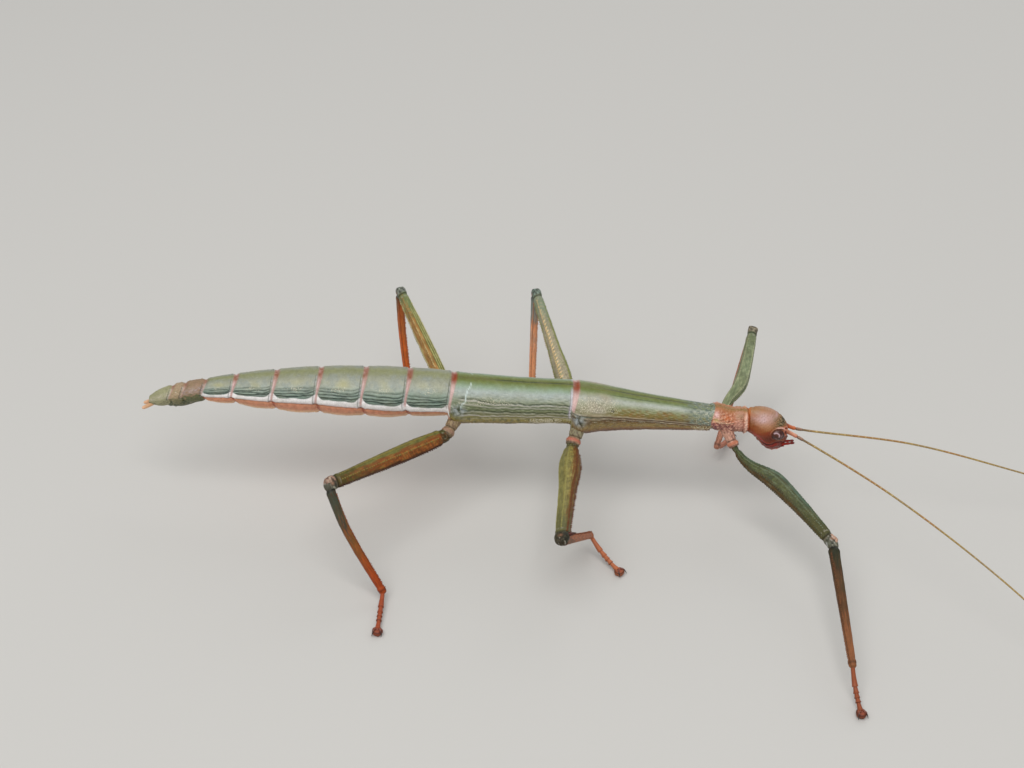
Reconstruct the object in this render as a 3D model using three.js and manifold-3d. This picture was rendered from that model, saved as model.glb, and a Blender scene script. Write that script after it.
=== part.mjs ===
// A female giant walkingstick, life size, standing on six feet with her feelers stretched out in front.
//
// Millimetres. +X is forward, +Y is the insect's left, +Z is up, and the soles lie on z = 0. While the
// shapes are made, x = 0 is the waist where the hind coxae meet the trunk; the finished group is then
// moved so that its box is centred over the origin.

import * as THREE from "three";
import { mergeVertices } from "three/addons/utils/BufferGeometryUtils.js";
import Module from "manifold-3d";

const wasm = await Module();
wasm.setup();

// ---------------------------------------------------------------- driving dimensions

const GAP = 0.25; // clearance between neighbouring solids
const WELD = 1e-4; // points closer than this are one
const FLATNESS = 0.004; // a cut surface is simplified within this
const AXIS_HEIGHT = 22.3; // trunk's axis above the floor at x = 0
const TRUNK_SLOPE = -0.0356; // the trunk is a little lower at the head

// Where the lengths of the trunk part, from the waist forward, and the joints of the abdomen behind it.
const WAIST = -4.1;
const THORAX_JOINT = 20.4; // between metathorax and mesothorax
const COLLAR_JOINT = 48.6; // between mesothorax and prothorax
const NECK = 55.5;
const ABDOMEN_BORDERS = [WAIST, -12.9, -21.7, -30.7, -39.6, -47.8, -53.9, -58.1, -60.7, -65.0];
const FIRST_RING = 2; // the ring behind the median segment is counted as the second

// The trunk's cross-sections: x, half width, half height, centre above the sloping axis.
const ABDOMEN_SECTIONS = [
  [-65.0, 0.75, 0.75, -5.5],
  [-63.4, 1.35, 1.25, -4.75],
  [-60.6, 1.85, 1.75, -3.75],
  [-57.6, 2.05, 1.95, -2.9],
  [-53.9, 2.15, 2.05, -1.95],
  [-47.8, 2.9, 2.75, -1.15],
  [-39.6, 4.0, 3.8, -0.65],
  [-30.7, 4.65, 4.45, 0.0],
  [-21.7, 5.0, 4.8, 0.4],
  [-12.9, 4.95, 4.7, 0.85],
  [-4.4, 4.6, 4.3, 1.2],
];
const METATHORAX_SECTIONS = [
  [-3.9, 5.1, 5.0, 0.35],
  [3.0, 5.0, 4.9, 0.3],
  [11.0, 4.75, 4.6, 0.5],
  [20.3, 4.6, 4.4, 0.85],
];
const MESOTHORAX_SECTIONS = [
  [20.6, 5.0, 4.9, 0.25],
  [22.8, 5.4, 5.2, -0.15],
  [27.0, 4.8, 4.7, -0.1],
  [34.7, 3.85, 3.75, -0.3],
  [43.0, 3.15, 3.05, -0.6],
  [48.5, 2.75, 2.65, -0.8],
];
const PROTHORAX_SECTIONS = [
  [48.8, 2.6, 2.5, -0.45],
  [50.2, 2.8, 2.65, -0.5],
  [53.0, 2.55, 2.35, -0.75],
  [55.4, 2.6, 2.4, -0.95],
];

const STERNITE_BULGE = 0.5; // how far a belly plate swells between its joints
const TERGITE_BULGE = 0.12;

const HEAD_WIDTH = 5.3;
const HEAD_CENTRE = [60.4, 17.6]; // x and height
const EYE_CENTRE = [62.4, 2.2, 17.65];
const EYE_SIZE = [2.8, 1.7, 2.4]; // length, depth into the head, height
const EYE_TILT = 20; // degrees that the eye's long axis sinks towards the front
const FEELER_LENGTH = 80;
const FEELER_RADIUS = 0.32;
const FEELER_BASE = [63.85, 1.05, 17.9];
const PALP_LENGTH = 2.9;
const PALP_RADIUS = 0.28;
const PALP_BASE = [63.5, 0.5, 13.9];
const PALP_LIFT = { right: 0.35, left: 0.12 }; // rise of each palp for one step forward
const CERCUS_LENGTH = 3.0;
const CERCUS_RADIUS = 0.42;
const CERCUS_ROOT = [-63.9, 0.45, 5.7];

// The scoop under the eighth and ninth rings that guides the eggs.
const SCOOP = { rear: -62.0, front: -54.2, halfWidth: 1.9, depth: 1.15 };

const SOLE_HEIGHT = 0.8; // centre of the foot's pad above the floor
const PAD_RADIUS = 1.1;
const CLAW_LENGTH = 1.5;
const CLAW_RADIUS = 0.26;
const CLAW_SPREAD = 32; // degrees that each claw turns out from the foot's heading
const TARSUS_RADIUS = 0.52;
const TARSUS_JOINTS = 5;

// One row for each pair of legs: root of the coxa inside the trunk and hip (x, out, z), lengths, and
// the section of each length as rows of [share of the length, half depth, half width].
const PAIRS = {
  front: {
    coxaRoot: [51.6, 1.2, 18.6],
    hip: [53.5, 3.9, 15.6],
    coxaRadius: 1.15,
    femur: 29.6,
    tibia: 27.7,
    tarsus: 8.4,
    tibiaBow: 0,
    bow: [
      [0, 0],
      [0.1, -0.6],
      [0.2, -0.5],
      [0.38, 0.9],
      [0.7, 0.7],
      [1, 0],
    ],
    femurSections: [
      [0, 0.62, 0.58],
      [0.1, 0.7, 0.64],
      [0.19, 1.0, 0.82],
      [0.3, 1.65, 1.2],
      [0.4, 1.9, 1.35],
      [0.6, 1.6, 1.2],
      [0.92, 1.2, 1.0],
      [1, 1.3, 1.1],
    ],
    tibiaSections: [
      [0, 1.05, 0.85],
      [0.08, 1.1, 0.85],
      [0.5, 0.95, 0.75],
      [1, 0.72, 0.65],
    ],
  },
  middle: {
    coxaRoot: [22.6, 2.0, 19.6],
    hip: [20.9, 6.5, 16.6],
    coxaRadius: 1.5,
    femur: 29.7,
    tibia: 21.65,
    tarsus: 9.0,
    tibiaBow: 0,
    femurSections: [
      [0, 1.1, 1.0],
      [0.08, 1.45, 1.2],
      [0.24, 2.2, 1.6],
      [0.5, 1.7, 1.2],
      [0.9, 1.4, 0.95],
      [0.97, 1.5, 1.05],
      [1, 1.3, 0.9],
    ],
    tibiaSections: [
      [0, 1.0, 0.8],
      [0.08, 1.0, 0.8],
      [0.5, 0.88, 0.75],
      [1, 0.75, 0.7],
    ],
  },
  hind: {
    coxaRoot: [-1.9, 2.0, 20.4],
    hip: [-4.35, 6.4, 17.9],
    coxaRadius: 1.35,
    femur: 28.8,
    tibia: 23.2,
    tarsus: 9.1,
    tibiaBow: 0.9,
    femurSections: [
      [0, 1.2, 0.9],
      [0.08, 1.6, 1.1],
      [0.3, 1.85, 1.25],
      [0.6, 1.65, 1.15],
      [0.9, 1.35, 0.95],
      [0.97, 1.45, 1.05],
      [1, 1.3, 0.9],
    ],
    tibiaSections: [
      [0, 0.95, 0.85],
      [0.08, 0.95, 0.85],
      [0.5, 0.85, 0.78],
      [1, 0.75, 0.7],
    ],
  },
};

// How each leg stands. Sweeps are degrees from straight ahead, outwards to the leg's own side; swing
// moves the hip along the trunk; lift is the femur's angle above level; ankle is its height above the
// floor; roll turns the flat of the femur about its length.
const STANCES = {
  front_right: { swing: 0, femur: 52.5, lift: -9, tibia: 88, ankle: 5.7, tarsus: 79, roll: 0 },
  front_left: { swing: -1.4, femur: 74, lift: 6.6, tibia: -110, ankle: 3.7, tarsus: 62, roll: 0 },
  middle_right: { swing: 0, femur: 94.3, lift: 1.4, tibia: -69, ankle: 4.5, tarsus: 47, roll: 90 },
  middle_left: { swing: 0, femur: 107, lift: 18.8, tibia: -89, ankle: 4.9, tarsus: 152, roll: 0 },
  hind_right: { swing: 0, femur: 139, lift: 3.7, tibia: 43, ankle: 2.1, tarsus: 92, roll: 0 },
  hind_left: { swing: 0, femur: 116, lift: 18.4, tibia: -67, ankle: 4.5, tarsus: 59, roll: 0 },
};

// ---------------------------------------------------------------- materials

const finish = (color, roughness) => ({ color, roughness, metalness: 0 });
const FINISHES = {
  abdomen: finish(0x74835c, 0.45),
  thorax: finish(0x5d7350, 0.42),
  collar: finish(0xb07a52, 0.5),
  head: finish(0xa06a45, 0.35),
  eye: finish(0x5b4a44, 0.2),
  feeler: finish(0xa97b4c, 0.55),
  mouthpart: finish(0x7c2c22, 0.5),
  cercus: finish(0xb98a63, 0.5),
  greenLimb: finish(0x5f7340, 0.45),
  brownLimb: finish(0x8a5a33, 0.45),
  foot: finish(0xb35a33, 0.5),
};

// ---------------------------------------------------------------- helpers

const vector = (x, y, z) => new THREE.Vector3(x, y, z);
const radians = THREE.MathUtils.degToRad;

// Smooth curve through rows of [position, value, value ...]: between two rows each value is a cubic
// whose slope at a row is that of the chord between the rows either side of it.
function along(rows, position) {
  const last = rows.length - 1;
  const x = THREE.MathUtils.clamp(position, rows[0][0], rows[last][0]);
  let i = 0;
  while (i < last - 1 && rows[i + 1][0] < x) i += 1;
  const a = rows[i];
  const b = rows[i + 1];
  const before = rows[Math.max(i - 1, 0)];
  const after = rows[Math.min(i + 2, last)];
  const span = b[0] - a[0];
  const s = (x - a[0]) / span;
  const blend = (k) => {
    const slopeA = ((b[k] - before[k]) / (b[0] - before[0])) * span;
    const slopeB = ((after[k] - a[k]) / (after[0] - a[0])) * span;
    const fall = b[k] - a[k];
    return a[k] + s * (slopeA + s * (3 * fall - 2 * slopeA - slopeB + s * (slopeA + slopeB - 2 * fall)));
  };
  return a.slice(1).map((_, k) => blend(k + 1));
}

// Closed body on a capped cylinder's mesh: place(share, angle, fill) gives the point at a share of the
// length and an angle round it, with fill 1 on the wall and 0 at the middle of an end cap.
function loft(sides, steps, place) {
  const geometry = new THREE.CylinderGeometry(1, 1, 1, sides, steps);
  geometry.deleteAttribute("normal");
  geometry.deleteAttribute("uv");
  const points = geometry.attributes.position;
  for (let i = 0; i < points.count; i += 1) {
    const across = points.getX(i);
    const up = points.getZ(i);
    const spot = place(points.getY(i) + 0.5, Math.atan2(up, across), Math.hypot(across, up));
    points.setXYZ(i, spot.x, spot.y, spot.z);
  }
  return mergeVertices(geometry, WELD);
}

// A closed mesh as a manifold solid, and back.
function solidOf(geometry) {
  const vertProperties = new Float32Array(geometry.attributes.position.array);
  const triVerts = new Uint32Array(geometry.index.array);
  return new wasm.Manifold(new wasm.Mesh({ numProp: 3, vertProperties, triVerts }));
}

function geometryOf(solid) {
  const mesh = solid.simplify(FLATNESS).getMesh();
  const geometry = new THREE.BufferGeometry();
  geometry.setAttribute("position", new THREE.BufferAttribute(new Float32Array(mesh.vertProperties), 3));
  geometry.setIndex(new THREE.BufferAttribute(new Uint32Array(mesh.triVerts), 1));
  return geometry;
}

// What is left of a body once its neighbours, each grown by the gap, are cut away: its largest piece.
function trimmed(geometry, neighbours) {
  const rest = neighbours.reduce((body, cutter) => body.subtract(solidOf(cutter)), solidOf(geometry));
  const pieces = rest.decompose();
  return geometryOf(pieces.reduce((best, piece) => (piece.volume() > best.volume() ? piece : best)));
}

// Round body along a path: at(share) gives its centre line and radiusAt(share) its radius, and both
// ends close on a flat cap square to the path.
function rod(at, radiusAt, sides, steps) {
  const nudge = 1e-3;
  return loft(sides, steps, (share, angle, fill) => {
    const centre = at(share);
    const direction = at(Math.min(share + nudge, 1)).sub(at(Math.max(share - nudge, 0))).normalize();
    const across = direction.clone().cross(vector(0, 0, 1)).normalize();
    const up = across.clone().cross(direction);
    const radius = fill * radiusAt(share);
    return centre
      .addScaledVector(across, radius * Math.cos(angle))
      .addScaledVector(up, radius * Math.sin(angle));
  });
}

// Straight blunt cone from a root along a direction.
function spike(root, direction, length, radius, bluntness = 0.35) {
  const heading = direction.clone().normalize();
  const at = (share) => root.clone().addScaledVector(heading, length * share);
  return rod(at, (share) => radius * THREE.MathUtils.lerp(1, bluntness, share ** 2), 6, 2);
}

const insect = new THREE.Group();

function addNode(name, geometry, look) {
  geometry.computeVertexNormals();
  const mesh = new THREE.Mesh(geometry, new THREE.MeshStandardMaterial(look));
  mesh.name = name;
  insect.add(mesh);
}

// ---------------------------------------------------------------- trunk

const axisHeight = (x) => AXIS_HEIGHT + TRUNK_SLOPE * x;

// Length of trunk from x = rear to x = front on the given sections. swell(share, side) adds to the
// radius, where side is 1 along the back and -1 along the belly; grow fattens it on every side.
function trunkLength(sections, rear, front, sides, steps, swell = () => 0, grow = 0) {
  return loft(sides, steps, (share, angle, fill) => {
    const x = THREE.MathUtils.lerp(rear - grow, front + grow, share);
    const [halfWidth, halfHeight, rise] = along(sections, x);
    const extra = swell(share, Math.sin(angle)) + grow;
    const y = -fill * (halfWidth + extra) * Math.cos(angle);
    const z = axisHeight(x) + rise + fill * (halfHeight + extra) * Math.sin(angle);
    return vector(x, y, z);
  });
}

// A ring's plates swell between its joints, the belly plate much more than the back plate.
const ringSwell = (share, side) => {
  const arch = Math.sin(Math.PI * share);
  return arch * (side < 0 ? THREE.MathUtils.lerp(TERGITE_BULGE, STERNITE_BULGE, -side) : TERGITE_BULGE);
};

const ringLength = (index, grow = 0) =>
  trunkLength(
    ABDOMEN_SECTIONS,
    ABDOMEN_BORDERS[index + 1] + GAP / 2,
    ABDOMEN_BORDERS[index] - GAP / 2,
    16,
    4,
    ringSwell,
    grow,
  );

ABDOMEN_BORDERS.slice(1).forEach((_, index) => {
  addNode(`abdomen_${index + FIRST_RING}`, ringLength(index), FINISHES.abdomen);
});

// A length of the thorax, parted from its neighbours by the gap.
const thorax = (sections, rear, front, sides, steps, grow) =>
  trunkLength(sections, rear + GAP / 2, front - GAP / 2, sides, steps, undefined, grow);

const metathorax = (grow) => thorax(METATHORAX_SECTIONS, WAIST, THORAX_JOINT, 18, 6, grow);
const mesothorax = (grow) => thorax(MESOTHORAX_SECTIONS, THORAX_JOINT, COLLAR_JOINT, 18, 9, grow);
const prothorax = (grow) => thorax(PROTHORAX_SECTIONS, COLLAR_JOINT, NECK, 16, 5, grow);

addNode("metathorax", metathorax(), FINISHES.thorax);
addNode("mesothorax", mesothorax(), FINISHES.thorax);
addNode("prothorax", prothorax(), FINISHES.collar);

function scoopPlate() {
  return loft(12, 6, (share, angle, fill) => {
    const x = THREE.MathUtils.lerp(SCOOP.rear, SCOOP.front, share);
    const round = Math.sqrt(Math.max(1 - (2 * share - 1) ** 2, 0.03));
    const [, halfHeight, rise] = along(ABDOMEN_SECTIONS, x);
    const y = -fill * SCOOP.halfWidth * round * Math.cos(angle);
    const belly = axisHeight(x) + rise - halfHeight * 0.55;
    const reach = Math.sin(angle) < 0 ? halfHeight * 0.45 + SCOOP.depth * round : 0.3;
    return vector(x, y, belly + fill * reach * Math.sin(angle));
  });
}

const lastRings = [5, 6, 7, 8].map((index) => ringLength(index, GAP));
addNode("subgenital_plate", trimmed(scoopPlate(), lastRings), FINISHES.abdomen);

// Cerci: two short blunt feelers at the tail, on roots given as x, distance out and drop below the axis.
[-1, 1].forEach((side) => {
  const [x, out, drop] = CERCUS_ROOT;
  const root = vector(x, side * out, axisHeight(x) - drop);
  const geometry = spike(root, vector(-1, side * 0.2, -0.55), CERCUS_LENGTH, CERCUS_RADIUS);
  const name = side < 0 ? "cercus_right" : "cercus_left";
  addNode(name, trimmed(geometry, [ringLength(8, GAP)]), FINISHES.cercus);
});

// ---------------------------------------------------------------- head

// The head seen from its right side, as x and height, from the throat up over the crown and down the
// face to the chin.
const HEAD_OUTLINE = [
  [56.0, 17.6],
  [55.85, 19.8],
  [56.3, 22.1],
  [59.0, 22.6],
  [61.9, 21.6],
  [64.1, 19.3],
  [64.7, 17.0],
  [64.6, 14.8],
  [63.8, 12.9],
  [61.9, 12.1],
  [59.8, 13.5],
  [57.8, 15.9],
];
// Half width of the head as a share of its greatest, from the neck forward.
const HEAD_TAPER = [
  [55.8, 0.8],
  [57.5, 0.94],
  [60.3, 1.0],
  [63.0, 0.84],
  [65.2, 0.6],
];
// The same share at each height: the head narrows towards its jaws.
const HEAD_NARROWING = [
  [12.0, 0.72],
  [15.0, 0.9],
  [18.0, 1.0],
  [23.0, 1.0],
];

// A ball whose equator is the side view's outline and whose poles are the cheeks.
function headBall(grow = 0) {
  const outline = new THREE.CatmullRomCurve3(
    HEAD_OUTLINE.map(([x, z]) => vector(x, 0, z)),
    true,
    "centripetal",
  );
  const geometry = new THREE.SphereGeometry(1, 24, 12);
  const turns = geometry.attributes.uv;
  const points = geometry.attributes.position;
  const centre = vector(HEAD_CENTRE[0], 0, HEAD_CENTRE[1]);
  for (let i = 0; i < points.count; i += 1) {
    const side = points.getY(i);
    const fill = Math.sqrt(Math.max(1 - side * side, 0)) ** 0.9;
    const edge = outline.getPoint(THREE.MathUtils.euclideanModulo(turns.getX(i), 1)).sub(centre);
    edge.setLength(edge.length() + grow);
    const spot = centre.clone().addScaledVector(edge, fill);
    const [taper] = along(HEAD_TAPER, spot.x);
    const [narrowing] = along(HEAD_NARROWING, spot.z);
    spot.y = side * (taper * narrowing * HEAD_WIDTH * 0.5 + grow);
    points.setXYZ(i, spot.x, spot.y, spot.z);
  }
  geometry.deleteAttribute("normal");
  geometry.deleteAttribute("uv");
  return mergeVertices(geometry, WELD);
}

function eyeBall(side, grow = 0) {
  const geometry = new THREE.SphereGeometry(0.5, 14, 7);
  geometry.deleteAttribute("normal");
  geometry.deleteAttribute("uv");
  geometry.scale(EYE_SIZE[0] + 2 * grow, EYE_SIZE[1] + 2 * grow, EYE_SIZE[2] + 2 * grow);
  geometry.rotateY(radians(EYE_TILT));
  geometry.translate(EYE_CENTRE[0], side * EYE_CENTRE[1], EYE_CENTRE[2]);
  return mergeVertices(geometry, WELD);
}

// Feelers: down and out from the face with their thick first joint, then sinking in a long slow curve; the
// right one swings outwards. First is the way of the first joint (forward, out, up). Turn is degrees out
// from straight ahead, and the drops are taken a third and two thirds along and at the tip.
const FEELER_COURSE = {
  right: { first: [2.4, 0.6, -0.96], turn: 44.6, drops: [1.4, 5.8, 14.0] },
  left: { first: [2.4, 0.2, -1.2], turn: -4.3, drops: [2.6, 8.5, 14.6] },
};

function feeler(side, grow = 0) {
  const name = side < 0 ? "right" : "left";
  const { first, turn, drops } = FEELER_COURSE[name];
  const out = radians(turn);
  const heading = vector(Math.cos(out), side * Math.sin(out), 0);
  const base = vector(FEELER_BASE[0], side * FEELER_BASE[1], FEELER_BASE[2]);
  const path = new THREE.CatmullRomCurve3([
    base,
    base.clone().add(vector(first[0], side * first[1], first[2])),
    ...drops.map((drop, i) =>
      base
        .clone()
        .addScaledVector(heading, FEELER_LENGTH * (0.31 + 0.33 * i))
        .add(vector(1.5, 0, -drop)),
    ),
  ]);
  const thickness = (share) => {
    const scape = 0.3 * Math.max(1 - share / 0.05, 0);
    return FEELER_RADIUS + scape - 0.05 * share + grow;
  };
  return rod((share) => path.getPointAt(share), thickness, 6, 22);
}

const SIDES = [
  [-1, "right"],
  [1, "left"],
];

SIDES.forEach(([side, name]) => {
  const palpRoot = vector(PALP_BASE[0], side * PALP_BASE[1], PALP_BASE[2]);
  const palp = spike(palpRoot, vector(1, side * 0.1, PALP_LIFT[name]), PALP_LENGTH, PALP_RADIUS, 0.9);
  addNode(`palp_${name}`, trimmed(palp, [headBall(GAP)]), FINISHES.mouthpart);
  addNode(`eye_${name}`, eyeBall(side), FINISHES.eye);
  addNode(`feeler_${name}`, trimmed(feeler(side), [headBall(GAP), eyeBall(side, GAP)]), FINISHES.feeler);
});

const eyeSockets = SIDES.map(([side]) => eyeBall(side, GAP));
addNode("head", trimmed(headBall(), [prothorax(GAP), ...eyeSockets]), FINISHES.head);

// ---------------------------------------------------------------- legs

const UP = vector(0, 0, 1);
const FORWARD = vector(1, 0, 0);
const NO_BOW = [
  [0, 0],
  [1, 0],
];

// Unit vector at a sweep from straight ahead towards the leg's side and a lift above level.
function bearing(sweep, lift, side) {
  const level = Math.cos(lift);
  return vector(Math.cos(sweep) * level, side * Math.sin(sweep) * level, Math.sin(lift));
}

// A length of leg between two joints. Rows give its half depth, measured along `top`, and its half
// width, and its belly is narrower than its back. Bow rows push its middle line towards `aside`.
function limb(from, to, top, rows, options = {}) {
  const { grow = 0, roll = 0, bow = NO_BOW, aside = top, sides = 10, steps = 9 } = options;
  const reach = to.clone().sub(from);
  const length = reach.length();
  const heading = reach.normalize();
  const back = top.clone().addScaledVector(heading, -top.dot(heading)).normalize();
  const upright = back.clone().applyAxisAngle(heading, radians(roll));
  const across = heading.clone().cross(upright);
  const lean = aside.clone().addScaledVector(heading, -aside.dot(heading)).normalize();
  return loft(sides, steps, (share, angle, fill) => {
    const station = THREE.MathUtils.lerp(-grow, length + grow, share);
    const [depth, width] = along(rows, station / length);
    const [sway] = along(bow, station / length);
    const rise = Math.sin(angle);
    return from
      .clone()
      .addScaledVector(heading, station)
      .addScaledVector(lean, sway)
      .addScaledVector(across, fill * (width * (1 + 0.15 * rise) + grow) * Math.cos(angle))
      .addScaledVector(upright, fill * (depth + grow) * rise);
  });
}

// The foot: a thin row of short joints that arches down to the floor, a round pad and two claws, all
// cut off level at the floor.
function foot(ankle, toe, heading) {
  const arch = new THREE.QuadraticBezierCurve3(
    ankle,
    ankle.clone().lerp(toe, 0.4).setZ(SOLE_HEIGHT + 0.25 * (ankle.z - SOLE_HEIGHT)),
    toe,
  );
  const beads = (share) => TARSUS_RADIUS * (1 + 0.12 * Math.cos(share * 2 * TARSUS_JOINTS * Math.PI));
  let solid = solidOf(rod((share) => arch.getPointAt(share), beads, 6, 10));
  const pad = new THREE.SphereGeometry(PAD_RADIUS, 10, 6);
  pad.deleteAttribute("normal");
  pad.deleteAttribute("uv");
  pad.scale(1, 1, 0.95);
  pad.translate(toe.x, toe.y, toe.z);
  solid = solid.add(solidOf(mergeVertices(pad, WELD)));
  [-1, 1].forEach((hand) => {
    const forward = heading.clone().applyAxisAngle(UP, radians(hand * CLAW_SPREAD)).setZ(-0.12);
    const root = toe.clone().addScaledVector(forward, PAD_RADIUS * 0.6).add(vector(0, 0, 0.15));
    solid = solid.add(solidOf(spike(root, forward, CLAW_LENGTH, CLAW_RADIUS, 0.5)));
  });
  const floor = new THREE.BoxGeometry(60, 60, 10);
  floor.deleteAttribute("normal");
  floor.deleteAttribute("uv");
  floor.translate(toe.x, toe.y, -5);
  return geometryOf(solid.subtract(solidOf(mergeVertices(floor, WELD))));
}

const trunkNear = {
  front: [prothorax(GAP), mesothorax(GAP)],
  middle: [mesothorax(GAP), metathorax(GAP)],
  hind: [metathorax(GAP), ringLength(0, GAP)],
};

Object.entries(STANCES).forEach(([leg, stance]) => {
  const [pairName, sideName] = leg.split("_");
  const pair = PAIRS[pairName];
  const side = sideName === "right" ? -1 : 1;
  const looks = pairName === "front" ? FINISHES.greenLimb : FINISHES.brownLimb;

  const root = vector(pair.coxaRoot[0], side * pair.coxaRoot[1], pair.coxaRoot[2]);
  const hip = vector(pair.hip[0] + stance.swing, side * pair.hip[1], pair.hip[2]);
  const knee = bearing(radians(stance.femur), radians(stance.lift), side)
    .multiplyScalar(pair.femur)
    .add(hip);
  const tibiaLift = Math.asin((stance.ankle - knee.z) / pair.tibia);
  const ankle = bearing(radians(stance.tibia), tibiaLift, side).multiplyScalar(pair.tibia).add(knee);
  const tarsusLift = Math.asin((SOLE_HEIGHT - stance.ankle) / pair.tarsus);
  const heading = bearing(radians(stance.tarsus), 0, side);
  const toe = bearing(radians(stance.tarsus), tarsusLift, side).multiplyScalar(pair.tarsus).add(ankle);

  // Tops point away from the inside of the knee, so that femur and tibia bend in one plane.
  const femurTop = hip.clone().sub(ankle).multiplyScalar(0.2).add(knee.clone().sub(ankle));
  const tibiaTop = knee.clone().sub(hip);
  const coxaRows = [
    [0, pair.coxaRadius, pair.coxaRadius],
    [0.75, pair.coxaRadius * 0.85, pair.coxaRadius * 0.85],
    [1, pair.coxaRadius * 0.95, pair.coxaRadius * 0.95],
  ];
  const coxa = (grow = 0) => limb(root, hip, UP, coxaRows, { grow, steps: 4 });
  const femurShape = { roll: stance.roll, bow: pair.bow, aside: FORWARD };
  const tibiaShape = { bow: NO_BOW.toSpliced(1, 0, [0.4, pair.tibiaBow]), sides: 8, steps: 7 };
  const femur = (grow = 0) => limb(hip, knee, femurTop, pair.femurSections, { ...femurShape, grow });
  const tibia = (grow = 0) => limb(knee, ankle, tibiaTop, pair.tibiaSections, { ...tibiaShape, grow });

  addNode(`${leg}_coxa`, trimmed(coxa(), trunkNear[pairName]), looks);
  addNode(`${leg}_femur`, trimmed(femur(), [coxa(GAP), ...trunkNear[pairName]]), looks);
  addNode(`${leg}_tibia`, trimmed(tibia(), [femur(GAP)]), looks);
  addNode(`${leg}_foot`, trimmed(foot(ankle, toe, heading), [tibia(GAP)]), FINISHES.foot);
});

// Centre the group's box over the origin, with the soles on z = 0.
const box = new THREE.Box3().setFromObject(insect, true);
const middle = box.getCenter(vector(0, 0, 0));
insect.children.forEach((mesh) => {
  mesh.position.set(-middle.x, -middle.y, -box.min.z);
});

export default insect;
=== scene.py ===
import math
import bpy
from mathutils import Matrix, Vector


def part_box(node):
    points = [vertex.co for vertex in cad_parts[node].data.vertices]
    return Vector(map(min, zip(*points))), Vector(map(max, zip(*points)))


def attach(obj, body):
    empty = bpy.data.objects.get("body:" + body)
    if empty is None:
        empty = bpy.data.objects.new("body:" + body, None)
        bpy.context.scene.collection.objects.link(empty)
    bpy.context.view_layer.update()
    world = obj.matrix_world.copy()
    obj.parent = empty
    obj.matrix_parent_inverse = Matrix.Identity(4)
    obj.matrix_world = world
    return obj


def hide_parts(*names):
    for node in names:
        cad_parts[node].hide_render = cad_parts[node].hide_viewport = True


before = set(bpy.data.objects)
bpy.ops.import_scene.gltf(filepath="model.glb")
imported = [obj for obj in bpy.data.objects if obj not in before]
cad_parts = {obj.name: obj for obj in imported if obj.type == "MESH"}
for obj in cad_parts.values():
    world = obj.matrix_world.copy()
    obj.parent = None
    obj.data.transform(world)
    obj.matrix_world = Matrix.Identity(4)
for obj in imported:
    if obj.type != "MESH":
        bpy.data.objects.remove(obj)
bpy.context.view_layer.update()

# A female giant walkingstick, life size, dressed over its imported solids: one skin for the trunk, one for
# the head, and the plates, limbs, feet, eyes, feelers and mouthparts as pieces of their own.
#
# Shapes are worked out in millimetres in the maker's frame, in which x = 0 is the waist, +X is forward,
# +Y the insect's left and z = 0 the floor. in_frame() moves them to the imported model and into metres.
# Angles round a body are degrees of elevation: 90 along the back, 0 on the flank, -90 under the belly.
# Colours are written as they look on a screen, as percent of red, green and blue.

from types import SimpleNamespace

import bpy
import numpy as np
from mathutils import Matrix, Vector

MM = 0.001
GAP = 0.25
WAIST = -4.1
THORAX_JOINT = 20.4
COLLAR_JOINT = 48.6
RING_JOINTS = np.array([WAIST, -12.9, -21.7, -30.7, -39.6, -47.8, -53.9, -58.1, -60.7, -65.0])
SIDES = (("right", -1), ("left", 1))
UP, FORWARD = np.array([0.0, 0.0, 1.0]), np.array([1.0, 0.0, 0.0])

low_corner, high_corner = (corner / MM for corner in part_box("metathorax"))
FRAME_SHIFT = np.array([low_corner.x - (WAIST + GAP / 2), (low_corner.y + high_corner.y) / 2, 0.0])


# ---------------------------------------------------------------- numbers and curves

def in_frame(points):
    """Millimetres in the maker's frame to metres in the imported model's: (point + shift) / 1000."""
    return (points + FRAME_SHIFT) * MM


def linear(tint):
    """Screen colour in percent to linear light: ((c / 100 + 0.055) / 1.055) to the power 2.4."""
    return ((np.asarray(tint, float) / 100 + 0.055) / 1.055) ** 2.4


def step(low, high, value):
    """0 below low, 1 above high and 3 s^2 - 2 s^3 between them, where s is the share of the way."""
    share = np.clip((value - low) / (high - low), 0, 1)
    return share * share * (3 - 2 * share)


def hump(value, centre, width):
    """Bell of height 1 at the centre: exp(-((value - centre) / width)^2)."""
    return np.exp(-(((value - centre) / width) ** 2))


def plateau(value, low, high, soft):
    """1 between low and high, falling smoothly to 0 within `soft` to either side of each."""
    return step(low - soft, low + soft, value) * (1 - step(high - soft, high + soft, value))


def light_of(tint):
    """Linear light of a tint of three numbers. A field of light passes as it is."""
    tint = np.squeeze(tint)
    return linear(tint) if tint.ndim == 1 else tint


def paint(ground, *layers):
    """Linear light of a ground with layers laid over it one by one: base + (layer - base) * mask, the mask
    held between 0 and 1. The ground is a tint or a field of light, and so is a layer before its mask."""
    base = light_of(ground)
    for *tint, mask in layers:
        base = base + (light_of(tint) - base) * np.clip(mask, 0, 1)[..., None]
    return base


def ripple(u, v, size, seed, waves=8):
    """Smooth seeded unevenness, mostly within -1 and 1: a sum of sine waves that run in random directions
    with lengths of 0.6 to 1.6 times `size`, over the root of half their number."""
    draw = np.random.default_rng(seed)
    total = np.zeros(np.broadcast(u, v).shape)
    for turn, phase, stretch in draw.uniform((0, 0, 0.6), (2 * np.pi, 2 * np.pi, 1.6), (waves, 3)):
        pitch = 2 * np.pi / (size * stretch)
        total += np.sin(pitch * (u * np.cos(turn) + v * np.sin(turn)) + phase)
    return total / np.sqrt(waves / 2)


def circle_hump(angle, at, width):
    """Bell round a circle, in degrees: the difference from its middle is taken the short way round."""
    return hump(np.mod(angle - at + 180, 360), 180, width)


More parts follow.
